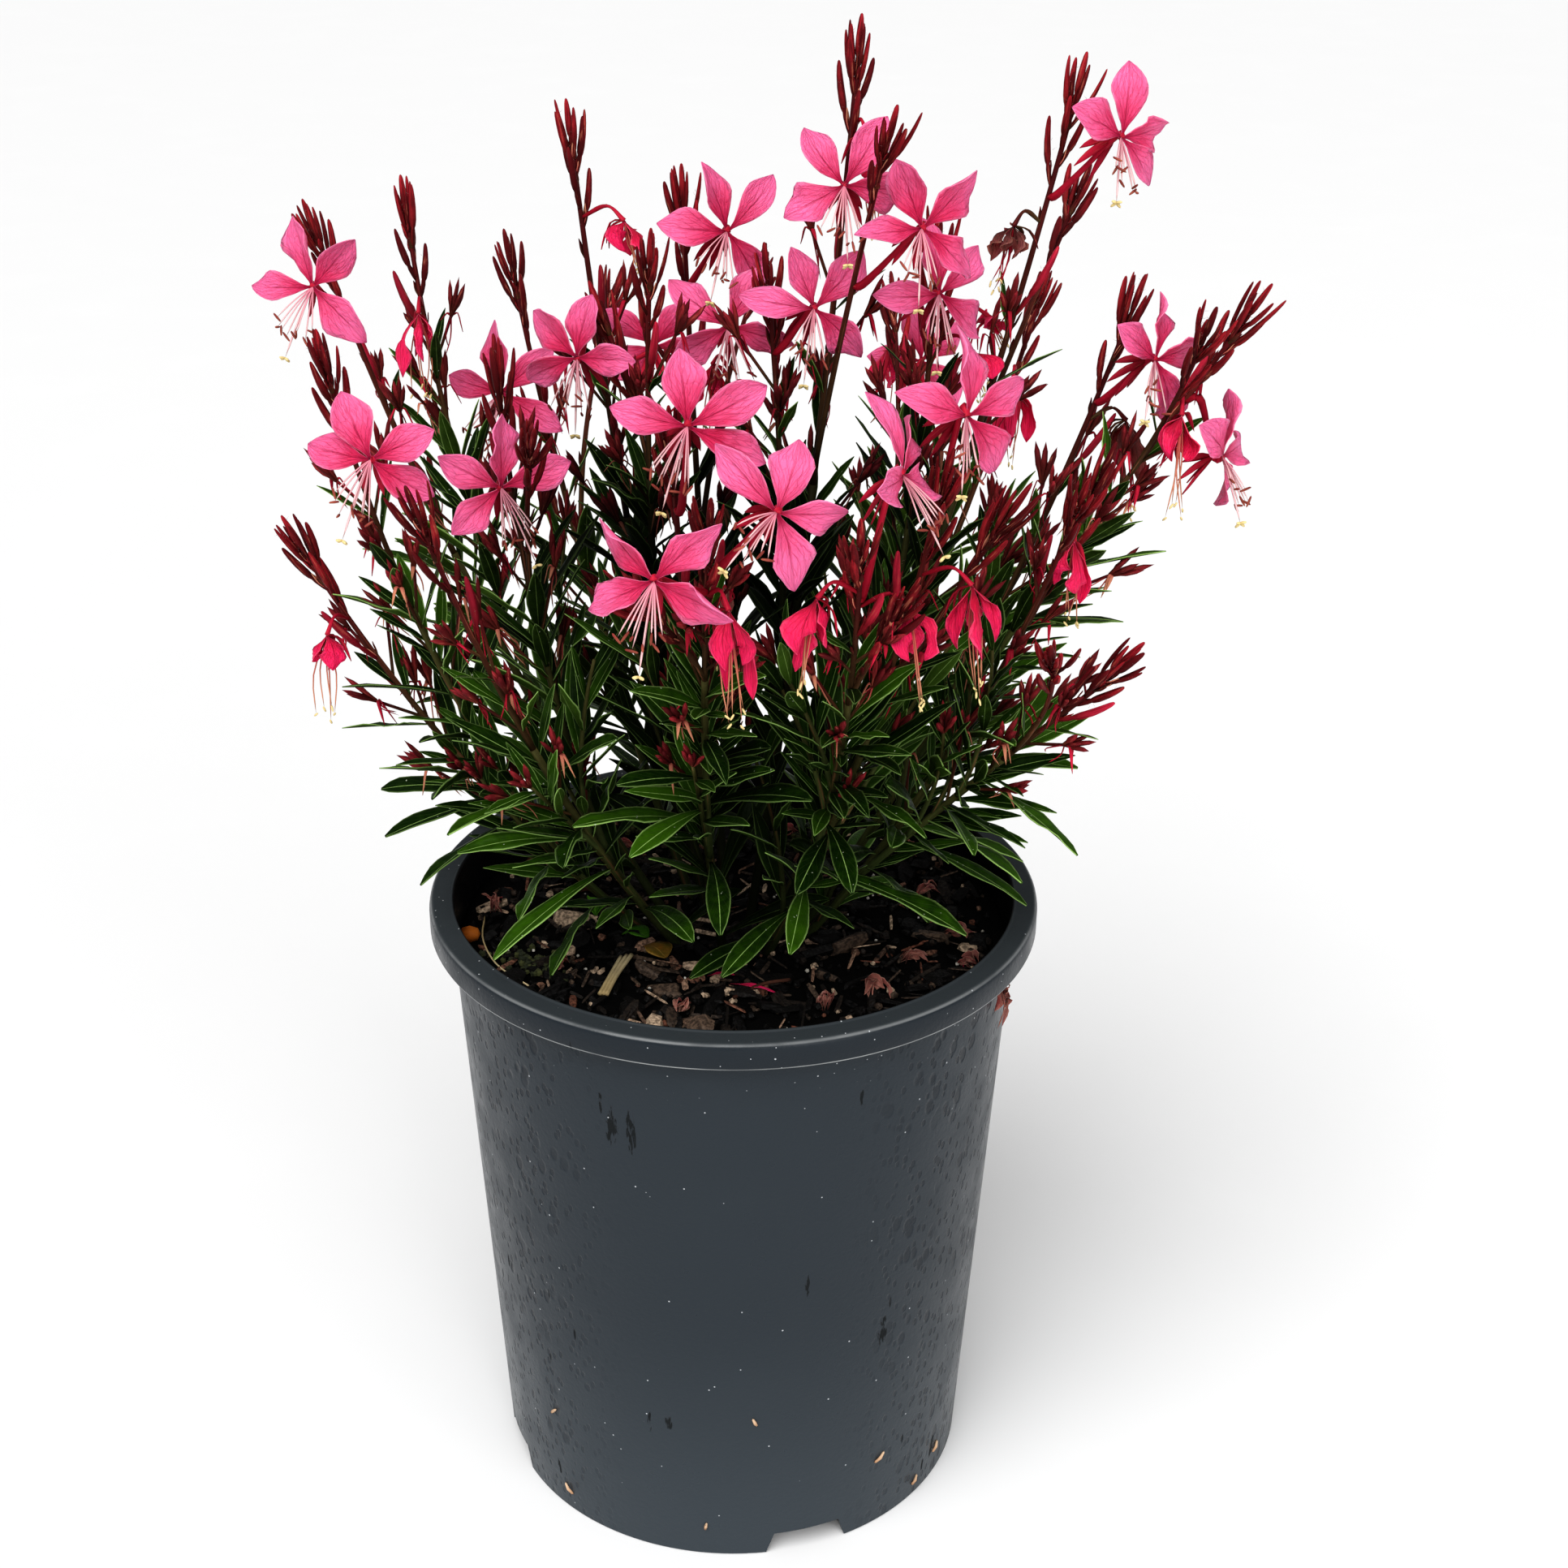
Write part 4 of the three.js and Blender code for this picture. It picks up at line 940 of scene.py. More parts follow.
rib_group, (across, along, count, slant), result = new_group(
    "ribs", ("Across", "Along", "Count", "Slant"), ("Midrib", "Veins", "Rim"))
out = abs(across - 0.5)
feed(result["Midrib"], out.rise(0.026, 0.008))
feed(result["Veins"], ((along - out * slant) * count).maths("SINE").rise(0.9, 1))
feed(result["Rim"], out.rise(0.415, 0.495))

# Painted shade: Outer is 0 deep inside the plant and 1 at its outside and near its top.
shade_group, (place,), result = new_group("inner_shade", ("Place",), ("Outer",))
x, y, z = split(place)
reach = (x * x + y * y).maths("SQRT")
girth = (z * 0.4 - 0.022).max(0.03)
feed(result["Outer"], reach.maths("DIVIDE", girth).rise(0.25, 0.95).max(z.rise(0.33, 0.41)))


def mottled(paint, size, deep, pale):
    inputs = {"Place": paint.place, "Scale": 1 / (size * MM), "Tint": paint.tint,
              "Deep": deep, "Pale": pale}
    return put("Group", inputs, node_tree=mottle_group)


def ribs(paint, count, slant):
    inputs = {"Across": paint.across, "Along": paint.along, "Count": count, "Slant": slant}
    return put("Group", inputs, None, node_tree=rib_group)


def shaded(paint, colour, inner_share):
    """Painted shade: the inside of the plant is darker than what the light reaches."""
    outer = put("Group", {"Place": paint.place}, node_tree=shade_group)
    return blend(outer, blend(1.0, colour, (inner_share, inner_share, inner_share), "MULTIPLY"), colour)


# %% Leaf, upper and under side
LEAF_VEINS, LEAF_DUST = (58.0, 0.55), (0.4, 0.45, 0.34)


def leaf_paint(name, deep, pale, rib, roughness):
    paint = Paint(name, Specular_IOR_Level=0.05)
    midrib, veins, rim = ribs(paint, *LEAF_VEINS)
    # The pale rim is partly the leaf's own margin and partly a painted highlight along its edge.
    edge = rim * paint.tint.rise(0.1, 0.9, 0.3, 0.75)
    paint.tint = paint.tint.maths("POWER", 1.4)
    colour = mottled(paint, 4, deep, pale)
    colour = blend(veins * 0.04, colour, rib)
    colour = blend((midrib * 0.8).max(edge), colour, rib)
    colour = blend(spots(paint.place, 3.6, 0.085), colour, LEAF_DUST)
    height = veins * -0.4 + noise(paint.place, 1.6)
    paint.wear(shaded(paint, colour, 0.12), roughness, bump(height, 0.26))


leaf_paint("leaf_top", (0.004, 0.015, 0.001), (0.033, 0.09, 0.004), (0.34, 0.52, 0.16), 0.4)
leaf_paint("leaf_back", (0.008, 0.02, 0.002), (0.045, 0.09, 0.01), (0.26, 0.4, 0.12), 0.6)

# %% Stems, buds and withered skin
DARK_STREAK, PALE_STREAK_AND_HIGHLIGHT = (0.008, 0.003, 0.003), (0.5, 0.17, 0.1)


def skin_paint(name, low, high, deep_share, roughness):
    """A round piece whose colour goes from low at its root to high at its tip."""
    paint = Paint(name, Specular_IOR_Level=0.05)
    colour = blend(paint.along.rise(0.05, 0.95), low, high)
    dark = blend(deep_share, colour, DARK_STREAK)
    colour = mottled(paint, 4, dark, colour)
    streaks = clouds(combine(paint.across * 5.0, paint.along * 1.6, paint.tint * 30.0), 1.5)
    colour = blend(streaks.rise(0.56, 0.4, 0.0, deep_share), colour, dark)
    # Pale streaks: partly the skin's own marks and partly painted highlights.
    colour = blend(streaks.rise(0.6, 0.7, 0.0, deep_share * 0.5), colour, PALE_STREAK_AND_HIGHLIGHT)
    grainy = noise(paint.place, 0.7, 5) + streaks
    paint.wear(shaded(paint, colour, 0.13), roughness, bump(grainy, 0.14))


for row in (
        ("stem_green", (0.085, 0.12, 0.035), (0.105, 0.1, 0.032), 0.58, 0.55),
        ("stem_red", (0.095, 0.055, 0.022), (0.12, 0.01, 0.013), 0.62, 0.55),
        ("bud_red", (0.13, 0.013, 0.012), (0.34, 0.017, 0.027), 0.76, 0.5),
        ("bud_bright", (0.24, 0.012, 0.02), (0.54, 0.025, 0.06), 0.6, 0.45),
        ("bud_dusky", (0.16, 0.03, 0.02), (0.3, 0.025, 0.035), 0.7, 0.6),
        ("tube_red", (0.3, 0.006, 0.02), (0.6, 0.02, 0.06), 0.5, 0.45),
        ("filament_pale", (0.72, 0.26, 0.34), (0.86, 0.55, 0.55), 0.1, 0.5),
        ("filament_spent", (0.5, 0.08, 0.08), (0.68, 0.3, 0.18), 0.3, 0.6),
        ("anther_brown", (0.3, 0.06, 0.05), (0.42, 0.12, 0.08), 0.4, 0.7),
        ("stigma_yellow", (0.75, 0.6, 0.28), (0.82, 0.66, 0.32), 0.1, 0.6),
        ("hair_white", (0.3, 0.16, 0.16), (0.45, 0.3, 0.28), 0.1, 0.6)):
    skin_paint(*row)

# %% Petals, fresh and withered
PETAL_VEINS = (31.0, 1.3)


def petal_paint(name, deep, pale, vein, edge, roughness):
    paint = Paint(name, Specular_IOR_Level=0.16, Subsurface_Weight=0.4, Subsurface_Radius=(1, 0.3, 0.4),
                  Subsurface_Scale=0.8 * MM)
    cloud = noise(paint.place, 5)
    paint.across = paint.across + (cloud - 0.5) * 0.12
    midrib, veins, rim = ribs(paint, *PETAL_VEINS)
    fan = (paint.across * 50.0).maths("SINE").rise(0.9, 1.0)
    net = clouds(combine(paint.across * 7.0, paint.along * 3.6, paint.tint * 40.0), 1.0, 1.0)
    net = abs(net - 0.5).rise(0.06, 0.0)
    ripe = paint.along + (cloud + paint.tint) * 0.45
    colour = blend(ripe.rise(0.5, 1.35), deep, pale)
    colour = blend(paint.along.rise(0.26, 0.0), colour, vein)
    spent = paint.along.rise(0.95, 0.25, 0.15, 0.75)
    lines = (fan * 0.13).max(veins * 0.24).max(midrib * spent)
    colour = blend(rim * 0.5, blend(lines, colour, vein), edge)
    folds = (lines + net * 0.3) * 1.4
    paint.wear(colour, roughness, bump(noise(paint.place, 2.2) - folds, 0.4))


for row in (
        ("petal_pink", (0.55, 0.02, 0.092), (0.82, 0.155, 0.34), (0.38, 0.007, 0.055),
         (0.9, 0.28, 0.45), 0.55),
        ("petal_withered", (0.5, 0.008, 0.045), (0.88, 0.02, 0.12), (0.3, 0.005, 0.03),
         (0.95, 0.1, 0.2), 0.45),
        ("petal_dry", (0.08, 0.02, 0.017), (0.42, 0.16, 0.125), (0.03, 0.008, 0.006),
         (0.6, 0.3, 0.22), 0.75),
        ("petal_brown", (0.06, 0.012, 0.012), (0.2, 0.06, 0.05), (0.012, 0.003, 0.003),
         (0.34, 0.15, 0.1), 0.8)):
    petal_paint(*row)
print("paints", len(palette))

# %% [markdown]
# ## From laid copies to a finished piece
# Everything so far is in millimetres. A finished piece is scaled to metres in its mesh, so its
# object stays at the origin, unturned and unscaled, like the measured solid that it stands for.

# %% Finished pieces
totals = {}


def finish(name, bm, paints, slot, *nodes):
    mesh = bpy.data.meshes.new(name)
    bm.to_mesh(mesh)
    bm.free()
    finish_mesh(name, mesh, paints, slot, *nodes)


def finish_mesh(name, mesh, paints, slot, *nodes):
    mesh.transform(Matrix.Scale(MM, 4))
    for paint in paints.split():
        mesh.materials.append(palette[paint])
    piece = bpy.data.objects.new(name, mesh)
    bpy.context.scene.collection.objects.link(piece)
    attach(piece, "root")
    if nodes:
        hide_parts(*nodes)
    totals[slot] = totals.get(slot, 0) + sum(len(face.vertices) - 2 for face in mesh.polygons)


def smooth_line(corners, count):
    """A smooth line through the corners, in so many steps."""
    corners = np.array(corners)
    ends = np.vstack([2 * corners[0] - corners[1], corners, 2 * corners[-1] - corners[-2]])
    line = []
    for i in range(count + 1):
        place = i / count * (len(corners) - 1)
        k = min(int(place), len(corners) - 2)
        t = place - k
        a, b, c, d = ends[k:k + 4]
        line.append(b + 0.5 * t * (c - a + t * (2 * a - 5 * b + 4 * c - d + t * (3 * b - a - 3 * c + d))))
    return np.array(line)


def straight(a, b, count=6, bow=None):
    """A line from a to b, which may bow sideways."""
    steps = np.linspace(0, 1, count + 1)[:, None]
    line = a + (b - a) * steps
    return line if bow is None else line + bow * (4 * steps * (1 - steps))


def either(low, high):
    return random.uniform(low, high)


# %% [markdown]
# ## Leafy stems
# A stem is a thin rod along its bend, thickest in the soil. Its leaves are long and drooping at
# the bottom and short and upright at the top. Each leaf is a copy of a master, so it costs little,
# and its own tint, sideways bow and curl keep any two from looking alike.

# %% Rods and leaves
LEAF_FULLNESS, YOUNG_FULLNESS, STEM_SLIMNESS, YOUNG_LENGTH = 0.93, 0.96, 0.86, 18
THREAD_STEPS = 6


def lay_rod(bm, bend, start, stop, thick, thin, paint):
    steps = np.linspace(start, stop, ROD_RINGS + 1)
    lay(bm, rod, [bend.point(t) for t in steps], SIDEWAYS,
        np.linspace(thick, thin, ROD_RINGS + 1), either(0.2, 0.8), paint)


def lay_leaf(bm, plan, paint, under):
    start, root, way, across, length, width, droop = plan
    s = np.linspace(0, 1, 8)[:, None]
    sway = across * (either(-0.07, 0.07) * length)
    line = start * (1 - s) + root * s + way * (length * s) - UP * (droop * length * s * s) + sway * s * s
    master = tuft_leaf if length < YOUNG_LENGTH else blunt_leaf if droop > 0.16 else sharp_leaf
    half = width * (LEAF_FULLNESS if droop > 0.12 else YOUNG_FULLNESS) * 0.5
    lay(bm, master, line, across, half, either(0.0, 1.0), paint, under, either(-0.35, 0.35),
        (either(0.04, 0.3), either(8, 15), either(0, 6)))


def lay_spent_thread(bm, start, tip, side, reach, paint):
    end = tip + side * either(-3, 3) - UP * reach
    middle = toward(start, end, 0.5) + side * either(-2.5, 2.5)
    line = smooth_line([start, middle, end], THREAD_STEPS)
    lay(bm, thread, line, SIDEWAYS, np.linspace(0.26, 0.17, THREAD_STEPS + 1), either(0, 1), paint)
    return line


def lay_tufts(bm, owner, bud_paint, twig_paint, thread_paint):
    """Small buds, then bare twigs with two spent threads and two curled sepals each."""
    for root, tip, radius in grown["tuft bud", owner]:
        lay(bm, tuft_bud, straight(root, tip), SIDEWAYS, radius, either(0, 1), bud_paint)
    for root, tip, way in grown["twig", owner]:
        lay(bm, rod, straight(root, tip, ROD_RINGS, way * 0.5), SIDEWAYS, 0.5, either(0, 1), twig_paint)
        for _ in range(2):
            lay_spent_thread(bm, tip, toward(tip, root, 0.4), bearing_vector(either(0, 360)), either(1, 7),
                             thread_paint)
            out = bearing_vector(either(0, 360))
            curl = [tip, tip + out * 2 + way, tip + out * either(3, 6) - UP * either(2, 8)]
            lay(bm, sepal, smooth_line(curl, 6), np.cross(out, UP), 0.65, either(0, 1), thread_paint)


STEM, TOP, BACK, DUSKY, TWIG, SPENT = range(6)
STEM_PAINTS = "stem_green leaf_top leaf_back bud_dusky stem_red filament_spent"
for number, (letter, _, greens) in enumerate(stems, 1):
    bm, owner = new_bmesh(), f"stem {letter}"
    for green in greens:
        lay_rod(bm, green.bend, 0, RED_START, green.thick * STEM_SLIMNESS, green.thin, STEM)
    for shoot in [shoot for whose, shoot in side_shoots if whose == owner]:
        lay_rod(bm, shoot.bend, 0, 1, shoot.thick, shoot.thin, STEM)
    for plan in grown["leaf", owner]:
        lay_leaf(bm, plan, TOP, BACK)
    lay_tufts(bm, owner, DUSKY, TWIG, SPENT)
    finish(f"leafy_stem_{number:02d}_leaves", bm, STEM_PAINTS, "leaf_green", f"leafy_stem_{number:02d}")
print("leafy stems", totals)

# %% [markdown]
# ## Racemes
# A raceme is the red, flowering end of a shoot. Its buds are long spindles that stand close to the
# stem, each on a short ovary. The youngest are packed round the tip, and below them come
# long single ones, then open flowers, then withered ones that hang before they fall.

# %% Buds, bracts and hairs
BUD_SLIMNESS = 0.75


def lay_bud(bm, root, tip, along, radius, paint):
    tip = root + (tip - root) * either(1.02, 1.14)
    length = np.linalg.norm(tip - root)
    out = (tip - root) / length - along
    line = straight(root, tip, 8, out * (length * 0.14))
    lay(bm, bud, line, SIDEWAYS, radius * BUD_SLIMNESS, either(0, 1), paint, twist=either(0, 1))
    return line


def lay_bract(bm, root, along, out, length, paint):
    line = smooth_line([root, root + along * (length * 0.5) + out * (length * 0.2),
                        root + along * length + out * (length * 0.3)], 6)
    lay(bm, sepal, line, np.cross(along, out), 0.8, either(0, 1), paint)


def lay_hairs(bm, line, radius, count, paint):
    for _ in range(count):
        place = line[0] + (line[-1] - line[0]) * either(0.05, 0.9)
        out = unit(np.cross(line[-1] - line[0], vec(either(-1, 1), either(-1, 1), either(-1, 1))))
        start = place + out * (radius * 0.6)
        end = start + out * either(0.7, 1.5) + unit(line[-1] - line[0]) * either(0.3, 0.9)
        lay(bm, hair, straight(start, end, 1), np.cross(out, UP) + SIDEWAYS * 0.01, 0.05, 0.5, paint)


# %% Withered flowers
KINDS = ((3, 5.2, 5.0, 0.9), (3, 4.8, 4.0, 0.68), (4, 3.6, 6.0, 0.95), (5, 2.6, 4.5, 0.8))
DRIED_KIND, DRIED_UP, WITHERED_THREADS = 3, (14, 9, 15), 5
STALK_STATIONS, STALK_GIRTHS = (0, 0.3, 0.6, 1), (0.5, 0.75, 0.45, 0.8)


def lay_withered(bm, plan, kind, skin, petals, threads, tips):
    """Petals that have closed again, folded along the middle and twisted, over hanging threads."""
    _, root, knee, brow, tip, out = plan
    girths = np.interp(ROD_STATIONS, STALK_STATIONS, STALK_GIRTHS)
    lay(bm, rod, smooth_line([root, knee, brow], ROD_RINGS), SIDEWAYS, girths, 0.5, skin)
    side = unit(np.cross(out, UP))
    tint = either(0.1, 0.9)
    count, half, stray, reach = KINDS[kind]
    for i in range(count):
        turn = 2 * math.pi * (i + either(-0.2, 0.2)) / count + kind
        lean = side * math.cos(turn) + out * math.sin(turn)
        end = toward(brow, tip, reach * either(0.55, 1.1)) + lean * (stray * either(0.3, 1.1))
        middle = toward(brow, end, either(0.35, 0.6)) + lean * either(1.2, 3.4) + UP * either(-1, 2.5)
        wide = half * np.interp(np.linspace(0, 1, 11), (0, 0.5, 1), (1, either(0.7, 1), either(0.7, 1.1)))
        wild = 2 if kind == DRIED_KIND else either(0.8, 1.5)
        lay(bm, petal if i % 2 and wild < 2 else creased_petal, smooth_line([brow, middle, end], 10),
            np.cross(lean, UP), wide * (1 if i % 2 else 0.72), tint + either(-0.1, 0.1), petals,
            twist=either(-2.2, 2.2) * wild, ripple=(either(0.3, 0.6) * wild, either(7, 14), either(0, 6)))
    for _ in range(WITHERED_THREADS):
        line = lay_spent_thread(bm, brow, tip, side + out * either(-0.6, 0.6), either(1, 7), threads)
        hang = unit(vec(either(-1, 1), either(-1, 1), -1))
        lay(bm, grain, straight(line[-1] - hang, line[-1] + hang * 1.2, 4), SIDEWAYS, 0.36, 0.5, tips)
    for turn in (-1, 0.3, 1):
        back = brow + side * (turn * either(2, 5)) - out * either(3, 7) - UP * either(5, 11)
        line = smooth_line([brow, toward(brow, back, 0.4) - out * 2 + UP * either(0, 2), back], 6)
        lay(bm, sepal, line, side, 0.85, either(0, 1), skin)


# %% The young bunch at each tip
YOUNG_BUDS, YOUNG_TURN, YOUNG_BUD_ROOM = 6, 70, 1.0
for name, paths in racemes.items():
    for path in paths:
        for i in range(YOUNG_BUDS):
            t = RED_END - (0.5 + 1.4 * i * either(0.8, 1.2)) / path.whole
            root, along, side, other = path.frame(t)
            out = swing(side, other, YOUNG_TURN + i * GOLDEN_TURN)
            length = either(11, 16) + 1.3 * i
            tip = root + along * length + out * (length * either(0.12, 0.34))
            if room.take(stretch(toward(root, tip, 0.3), tip, ROOM_STEP), YOUNG_BUD_ROOM, f"raceme {name}"):
                grown["bud", name].append((path.bend.point(t), along, tip, either(0.85, 1.15)))
print("buds with the young ones", count_grown("bud"))

# %% Lay the racemes
HAIRS, HAIR_ROOT, TIP_BUD_RADIUS, JOINT_OVERLAP = 7, 0.8, 1.5, 0.004
BRACTS, LOWEST_BRACT, RED_BRACTS = 5, 0.1, 0.7
ROD, BUD, WILTED, THREADS, HAIR, TOP, BACK, TUBE, BRIGHT, DUSKY, BROWN, YELLOW = range(12)
RACEME_PAINTS = ("stem_red bud_red petal_withered filament_spent hair_white leaf_top leaf_back tube_red "
                 "bud_bright bud_dusky petal_brown stigma_yellow")
for number, (name, paths) in enumerate(racemes.items(), 1):
    bm, owner = new_bmesh(), f"raceme {name}"
    for path in paths:
        begin = max(path.start - JOINT_OVERLAP, 0)
        lay_rod(bm, path.bend, begin, RED_END, path.thick * STEM_SLIMNESS, path.thin, ROD)
        end, heading = path.bend.point(RED_END), path.bend.heading(1)
        line = lay_bud(bm, end, end + heading * BUD_LENGTH, heading, TIP_BUD_RADIUS, BUD)
        lay_hairs(bm, line, TIP_BUD_RADIUS * HAIR_ROOT, HAIRS, HAIR)
        for i in range(BRACTS):
            t = mix(max(path.start, LOWEST_BRACT), RED_END, (i + either(0.2, 0.8)) / BRACTS)
            root, along, side, other = path.frame(t)
            lay_bract(bm, path.bend.point(t), along, swing(side, other, i * GOLDEN_TURN), either(4, 8), ROD)
    for root, along, tip, radius in grown["bud", name]:
        line = lay_bud(bm, root, tip, along, radius, BRIGHT if radius == LONG_RADIUS else BUD)
        lay_hairs(bm, line, radius * HAIR_ROOT, HAIRS, HAIR)
        out = unit(tip - root - along * ((tip - root) @ along))
        lay_bract(bm, root, along, out, either(5, 8), BUD if either(0, 1) < RED_BRACTS else THREADS)
    lay_tufts(bm, owner, DUSKY, ROD, TUBE)
    for plan in grown["leaf", owner]:
        lay_leaf(bm, plan, TOP, BACK)
    for place, plan in enumerate(withered_plan):
        if plan[0] == name and place in DRIED_UP:
            lay_withered(bm, plan, DRIED_KIND, ROD, BROWN, TUBE, YELLOW)
        elif plan[0] == name:
            lay_withered(bm, plan, place % 3, TUBE, WILTED, THREADS, YELLOW)
    finish(f"raceme_{number:02d}_buds", bm, RACEME_PAINTS, "raceme_red", f"raceme_{number:02d}")
print("racemes", totals)

# %% [markdown]
# ## Open flowers
# A gaura flower has four clawed petals that all spread upwards and sideways, like a butterfly's
# wings. Eight stamens and a longer style with a cross-shaped tip hang forward below them, and the
# narrow sepals are folded back along the tube. Every petal is the same master, with its own turn,
# curl and ruffle.

# %% Lay the open flowers
STAMEN_TURNS = (-146, -154, -163, -172, 176, 170, 163, 156)
SEPAL_TURNS = ((-160, -0.9, 12.5), (160, -0.9, 12.5), (-126, -1.4, 10), (126, -1.4, 10))
TUBE_STATIONS, TUBE_GIRTHS = (0, 0.12, 0.34, 0.5, 0.75, 1), (0.8, 1.2, 1.25, 0.85, 1.05, 1.15)
PETAL_HALF, PETAL_STEPS, SEPAL_HALF = 6.0, 12, 1.15
STAMEN_GIRTH, STYLE_GIRTH, ANTHER_HALF, ANTHER_GIRTH = 0.24, 0.3, 1.9, 0.42
PETALS, TUBE, PALE, ANTHER, STIGMA = range(5)


def thread_line(way, start, turn, lean, length, count=6):
    return np.array([way.thread(start, turn, lean, length, i / count) for i in range(count + 1)])


def lay_stamen(bm, way, heart, turn, lean, length):
    line = thread_line(way, heart, turn, lean, length)
    lay(bm, thread, line, SIDEWAYS, STAMEN_GIRTH, either(0, 1), PALE)
    hang = unit(vec(either(-1, 1), either(-1, 1), either(-1.6, 0.3)))
    ends = straight(line[-1] - hang * ANTHER_HALF, line[-1] + hang * ANTHER_HALF, 4)
    lay(bm, grain, ends, np.cross(hang, UP) + SIDEWAYS * 0.01, ANTHER_GIRTH, either(0, 1), ANTHER)


def lay_style(bm, way, heart):
    line = thread_line(way, heart, *STYLE)
    lay(bm, thread, line, SIDEWAYS, STYLE_GIRTH, 0.6, PALE)
    tip, along = line[-1], unit(line[-1] - line[-2])
    first = unit(np.cross(along, SIDEWAYS))
    second = np.cross(along, first)
    for lobe_turn in (45, 135, 225, 315):
        out = swing(first, second, lobe_turn)
        lay(bm, grain, straight(tip - out * 0.2, tip + out * 2.1 + along * 0.6, 4), along, 0.5, 0.5, STIGMA)


for number, (way, heart, back, root, knee) in enumerate(blooms, 1):
    bm = new_bmesh()
    tint = either(0.25, 0.75)
    girths = np.interp(ROD_STATIONS, TUBE_STATIONS, TUBE_GIRTHS)
    tube = smooth_line([root, knee, back, heart + way.face * 0.4], ROD_RINGS)
    lay(bm, rod, tube, SIDEWAYS, girths, 0.5, TUBE)
    for degrees in PETAL_TURNS:
        turn, scale = degrees + either(-13, 13), either(0.92, 1.14)
        curl = way.face * either(-3.0, 3.4) + way.turn(turn + 90) * either(-2.4, 2.4)
        steps = np.linspace(0, 1, PETAL_STEPS + 1)
        line = [heart + (way.petal(heart, turn, s) - heart) * scale + curl * s * s for s in steps]
        lay(bm, petal, line, np.cross(way.face, way.turn(turn)), PETAL_HALF * either(0.78, 1.04),
            tint + either(-0.2, 0.2), PETALS, twist=either(-1.15, 1.15),
            ripple=(either(0.14, 0.42), either(6, 13), either(0, 6)))
    for turn, lean, length in SEPAL_TURNS:
        line = thread_line(way, back, turn + either(-8, 8), lean, length)
        lay(bm, sepal, line, np.cross(way.face, way.turn(turn)), SEPAL_HALF, either(0, 1), TUBE)
    for turn in STAMEN_TURNS:
        lay_stamen(bm, way, heart, turn + either(-5, 5), either(0.45, 0.95), either(12.5, 17))
    lay_style(bm, way, heart)
    finish(f"bloom_{number:02d}_flower", bm, "petal_pink tube_red filament_pale anther_brown stigma_yellow",
           "petal_pink", f"bloom_{number:02d}")
print("flowers", totals)

# %% [markdown]
# ## The nursery pot
# The pot is moulded in thin grey plastic. Its wall leans out a little so that pots stack, and its
# rim is a broad band with a rolled top. All of that is one outline spun round the axis. Notches
# in the foot and holes in the floor let water out, and they are cut from the spun shape.

# %% Spin the pot
BAND_FOOT, FLOOR_TOP, POT_STEPS = POT_HEIGHT - RIM_BAND, FLOOR_UNDERSIDE + FLOOR_THICKNESS, 144


def body_radius(height):
    return mix(BODY_FOOT_RADIUS, BODY_TOP_RADIUS, height / BAND_FOOT)


def inner_radius(height):
    return body_radius(height) - WALL


UNDERSIDE_AND_FOOT = [(FLOOR_UNDERSIDE, 0), (FLOOR_UNDERSIDE, 40), (FLOOR_UNDERSIDE, 75.6), (10.4, 76.2),
                      (0.5, 77.1), (0, 77.6), (0, 80), (0.4, 80.5)]
BAND_AND_LIP = [(BAND_FOOT - 0.6, 93), (BAND_FOOT - 0.1, 93.4), (BAND_FOOT, 94), (BAND_FOOT, 99),
                (BAND_FOOT + 0.2, 99.7), (BAND_FOOT + 0.9, 100), (211.4, 100), (212.6, 99.75),
                (213.3, 99.1), (POT_HEIGHT, 98.2), (POT_HEIGHT, 93.8), (213.6, 93.2), (214.05, 92.8),
                (214.1, 92.4), (213.8, 92.1), (213.2, 91.95), (203.5, 91.2)]
INSIDE = [(120, inner_radius(120)), (40, inner_radius(40)), (FLOOR_TOP + 1, inner_radius(FLOOR_TOP)),
          (FLOOR_TOP, inner_radius(FLOOR_TOP) - 1), (FLOOR_TOP, 40), (FLOOR_TOP, 0)]
body = [(height, body_radius(height)) for height in (14, 40, 70, 100, 130, 160, 185, 198)]
pot_bm = spin_profile(UNDERSIDE_AND_FOOT + body + BAND_AND_LIP + INSIDE, POT_STEPS)
print("pot", len(pot_bm.faces), "faces before its holes")

# %% Cut the notches and the drain holes
NOTCH_BEARING, NOTCH_FOOT, NOTCH_HEAD, NOTCH_HEIGHT = -72, 29, 23, 8.5
DRAIN_RADIUS, DRAIN_REACH = 5, 55
cutter_bm = bmesh.new()


def turn_cutter(verts, degrees):
    turned = Matrix.Rotation(math.radians(degrees), 3, "Z")
    bmesh.ops.rotate(cutter_bm, verts=verts, cent=(0, 0, 0), matrix=turned)


for i in range(4):
    notch = bmesh.ops.create_cube(cutter_bm, size=1)["verts"]
    for vert in notch:
        foot = vert.co.z < 0
        vert.co.x *= NOTCH_FOOT if foot else NOTCH_HEAD
        vert.co.y = 84.5 + 24 * vert.co.y
        vert.co.z = -1 if foot else NOTCH_HEIGHT
    turn_cutter(notch, NOTCH_BEARING + 90 * i - 90)
    hole = bmesh.ops.create_cone(cutter_bm, cap_ends=True, segments=24, radius1=DRAIN_RADIUS,
                                 radius2=DRAIN_RADIUS, depth=6)["verts"]
    bmesh.ops.translate(cutter_bm, verts=hole, vec=(DRAIN_REACH, 0, FLOOR_UNDERSIDE + FLOOR_THICKNESS / 2))
    turn_cutter(hole, NOTCH_BEARING + 90 * i + 45)
bmesh.ops.recalc_face_normals(cutter_bm, faces=cutter_bm.faces[:])


def blank_object(name, bm):
    mesh = bpy.data.meshes.new(name)
    bm.to_mesh(mesh)
    bm.free()
    blank = bpy.data.objects.new(name, mesh)
    bpy.context.scene.collection.objects.link(blank)
    return blank


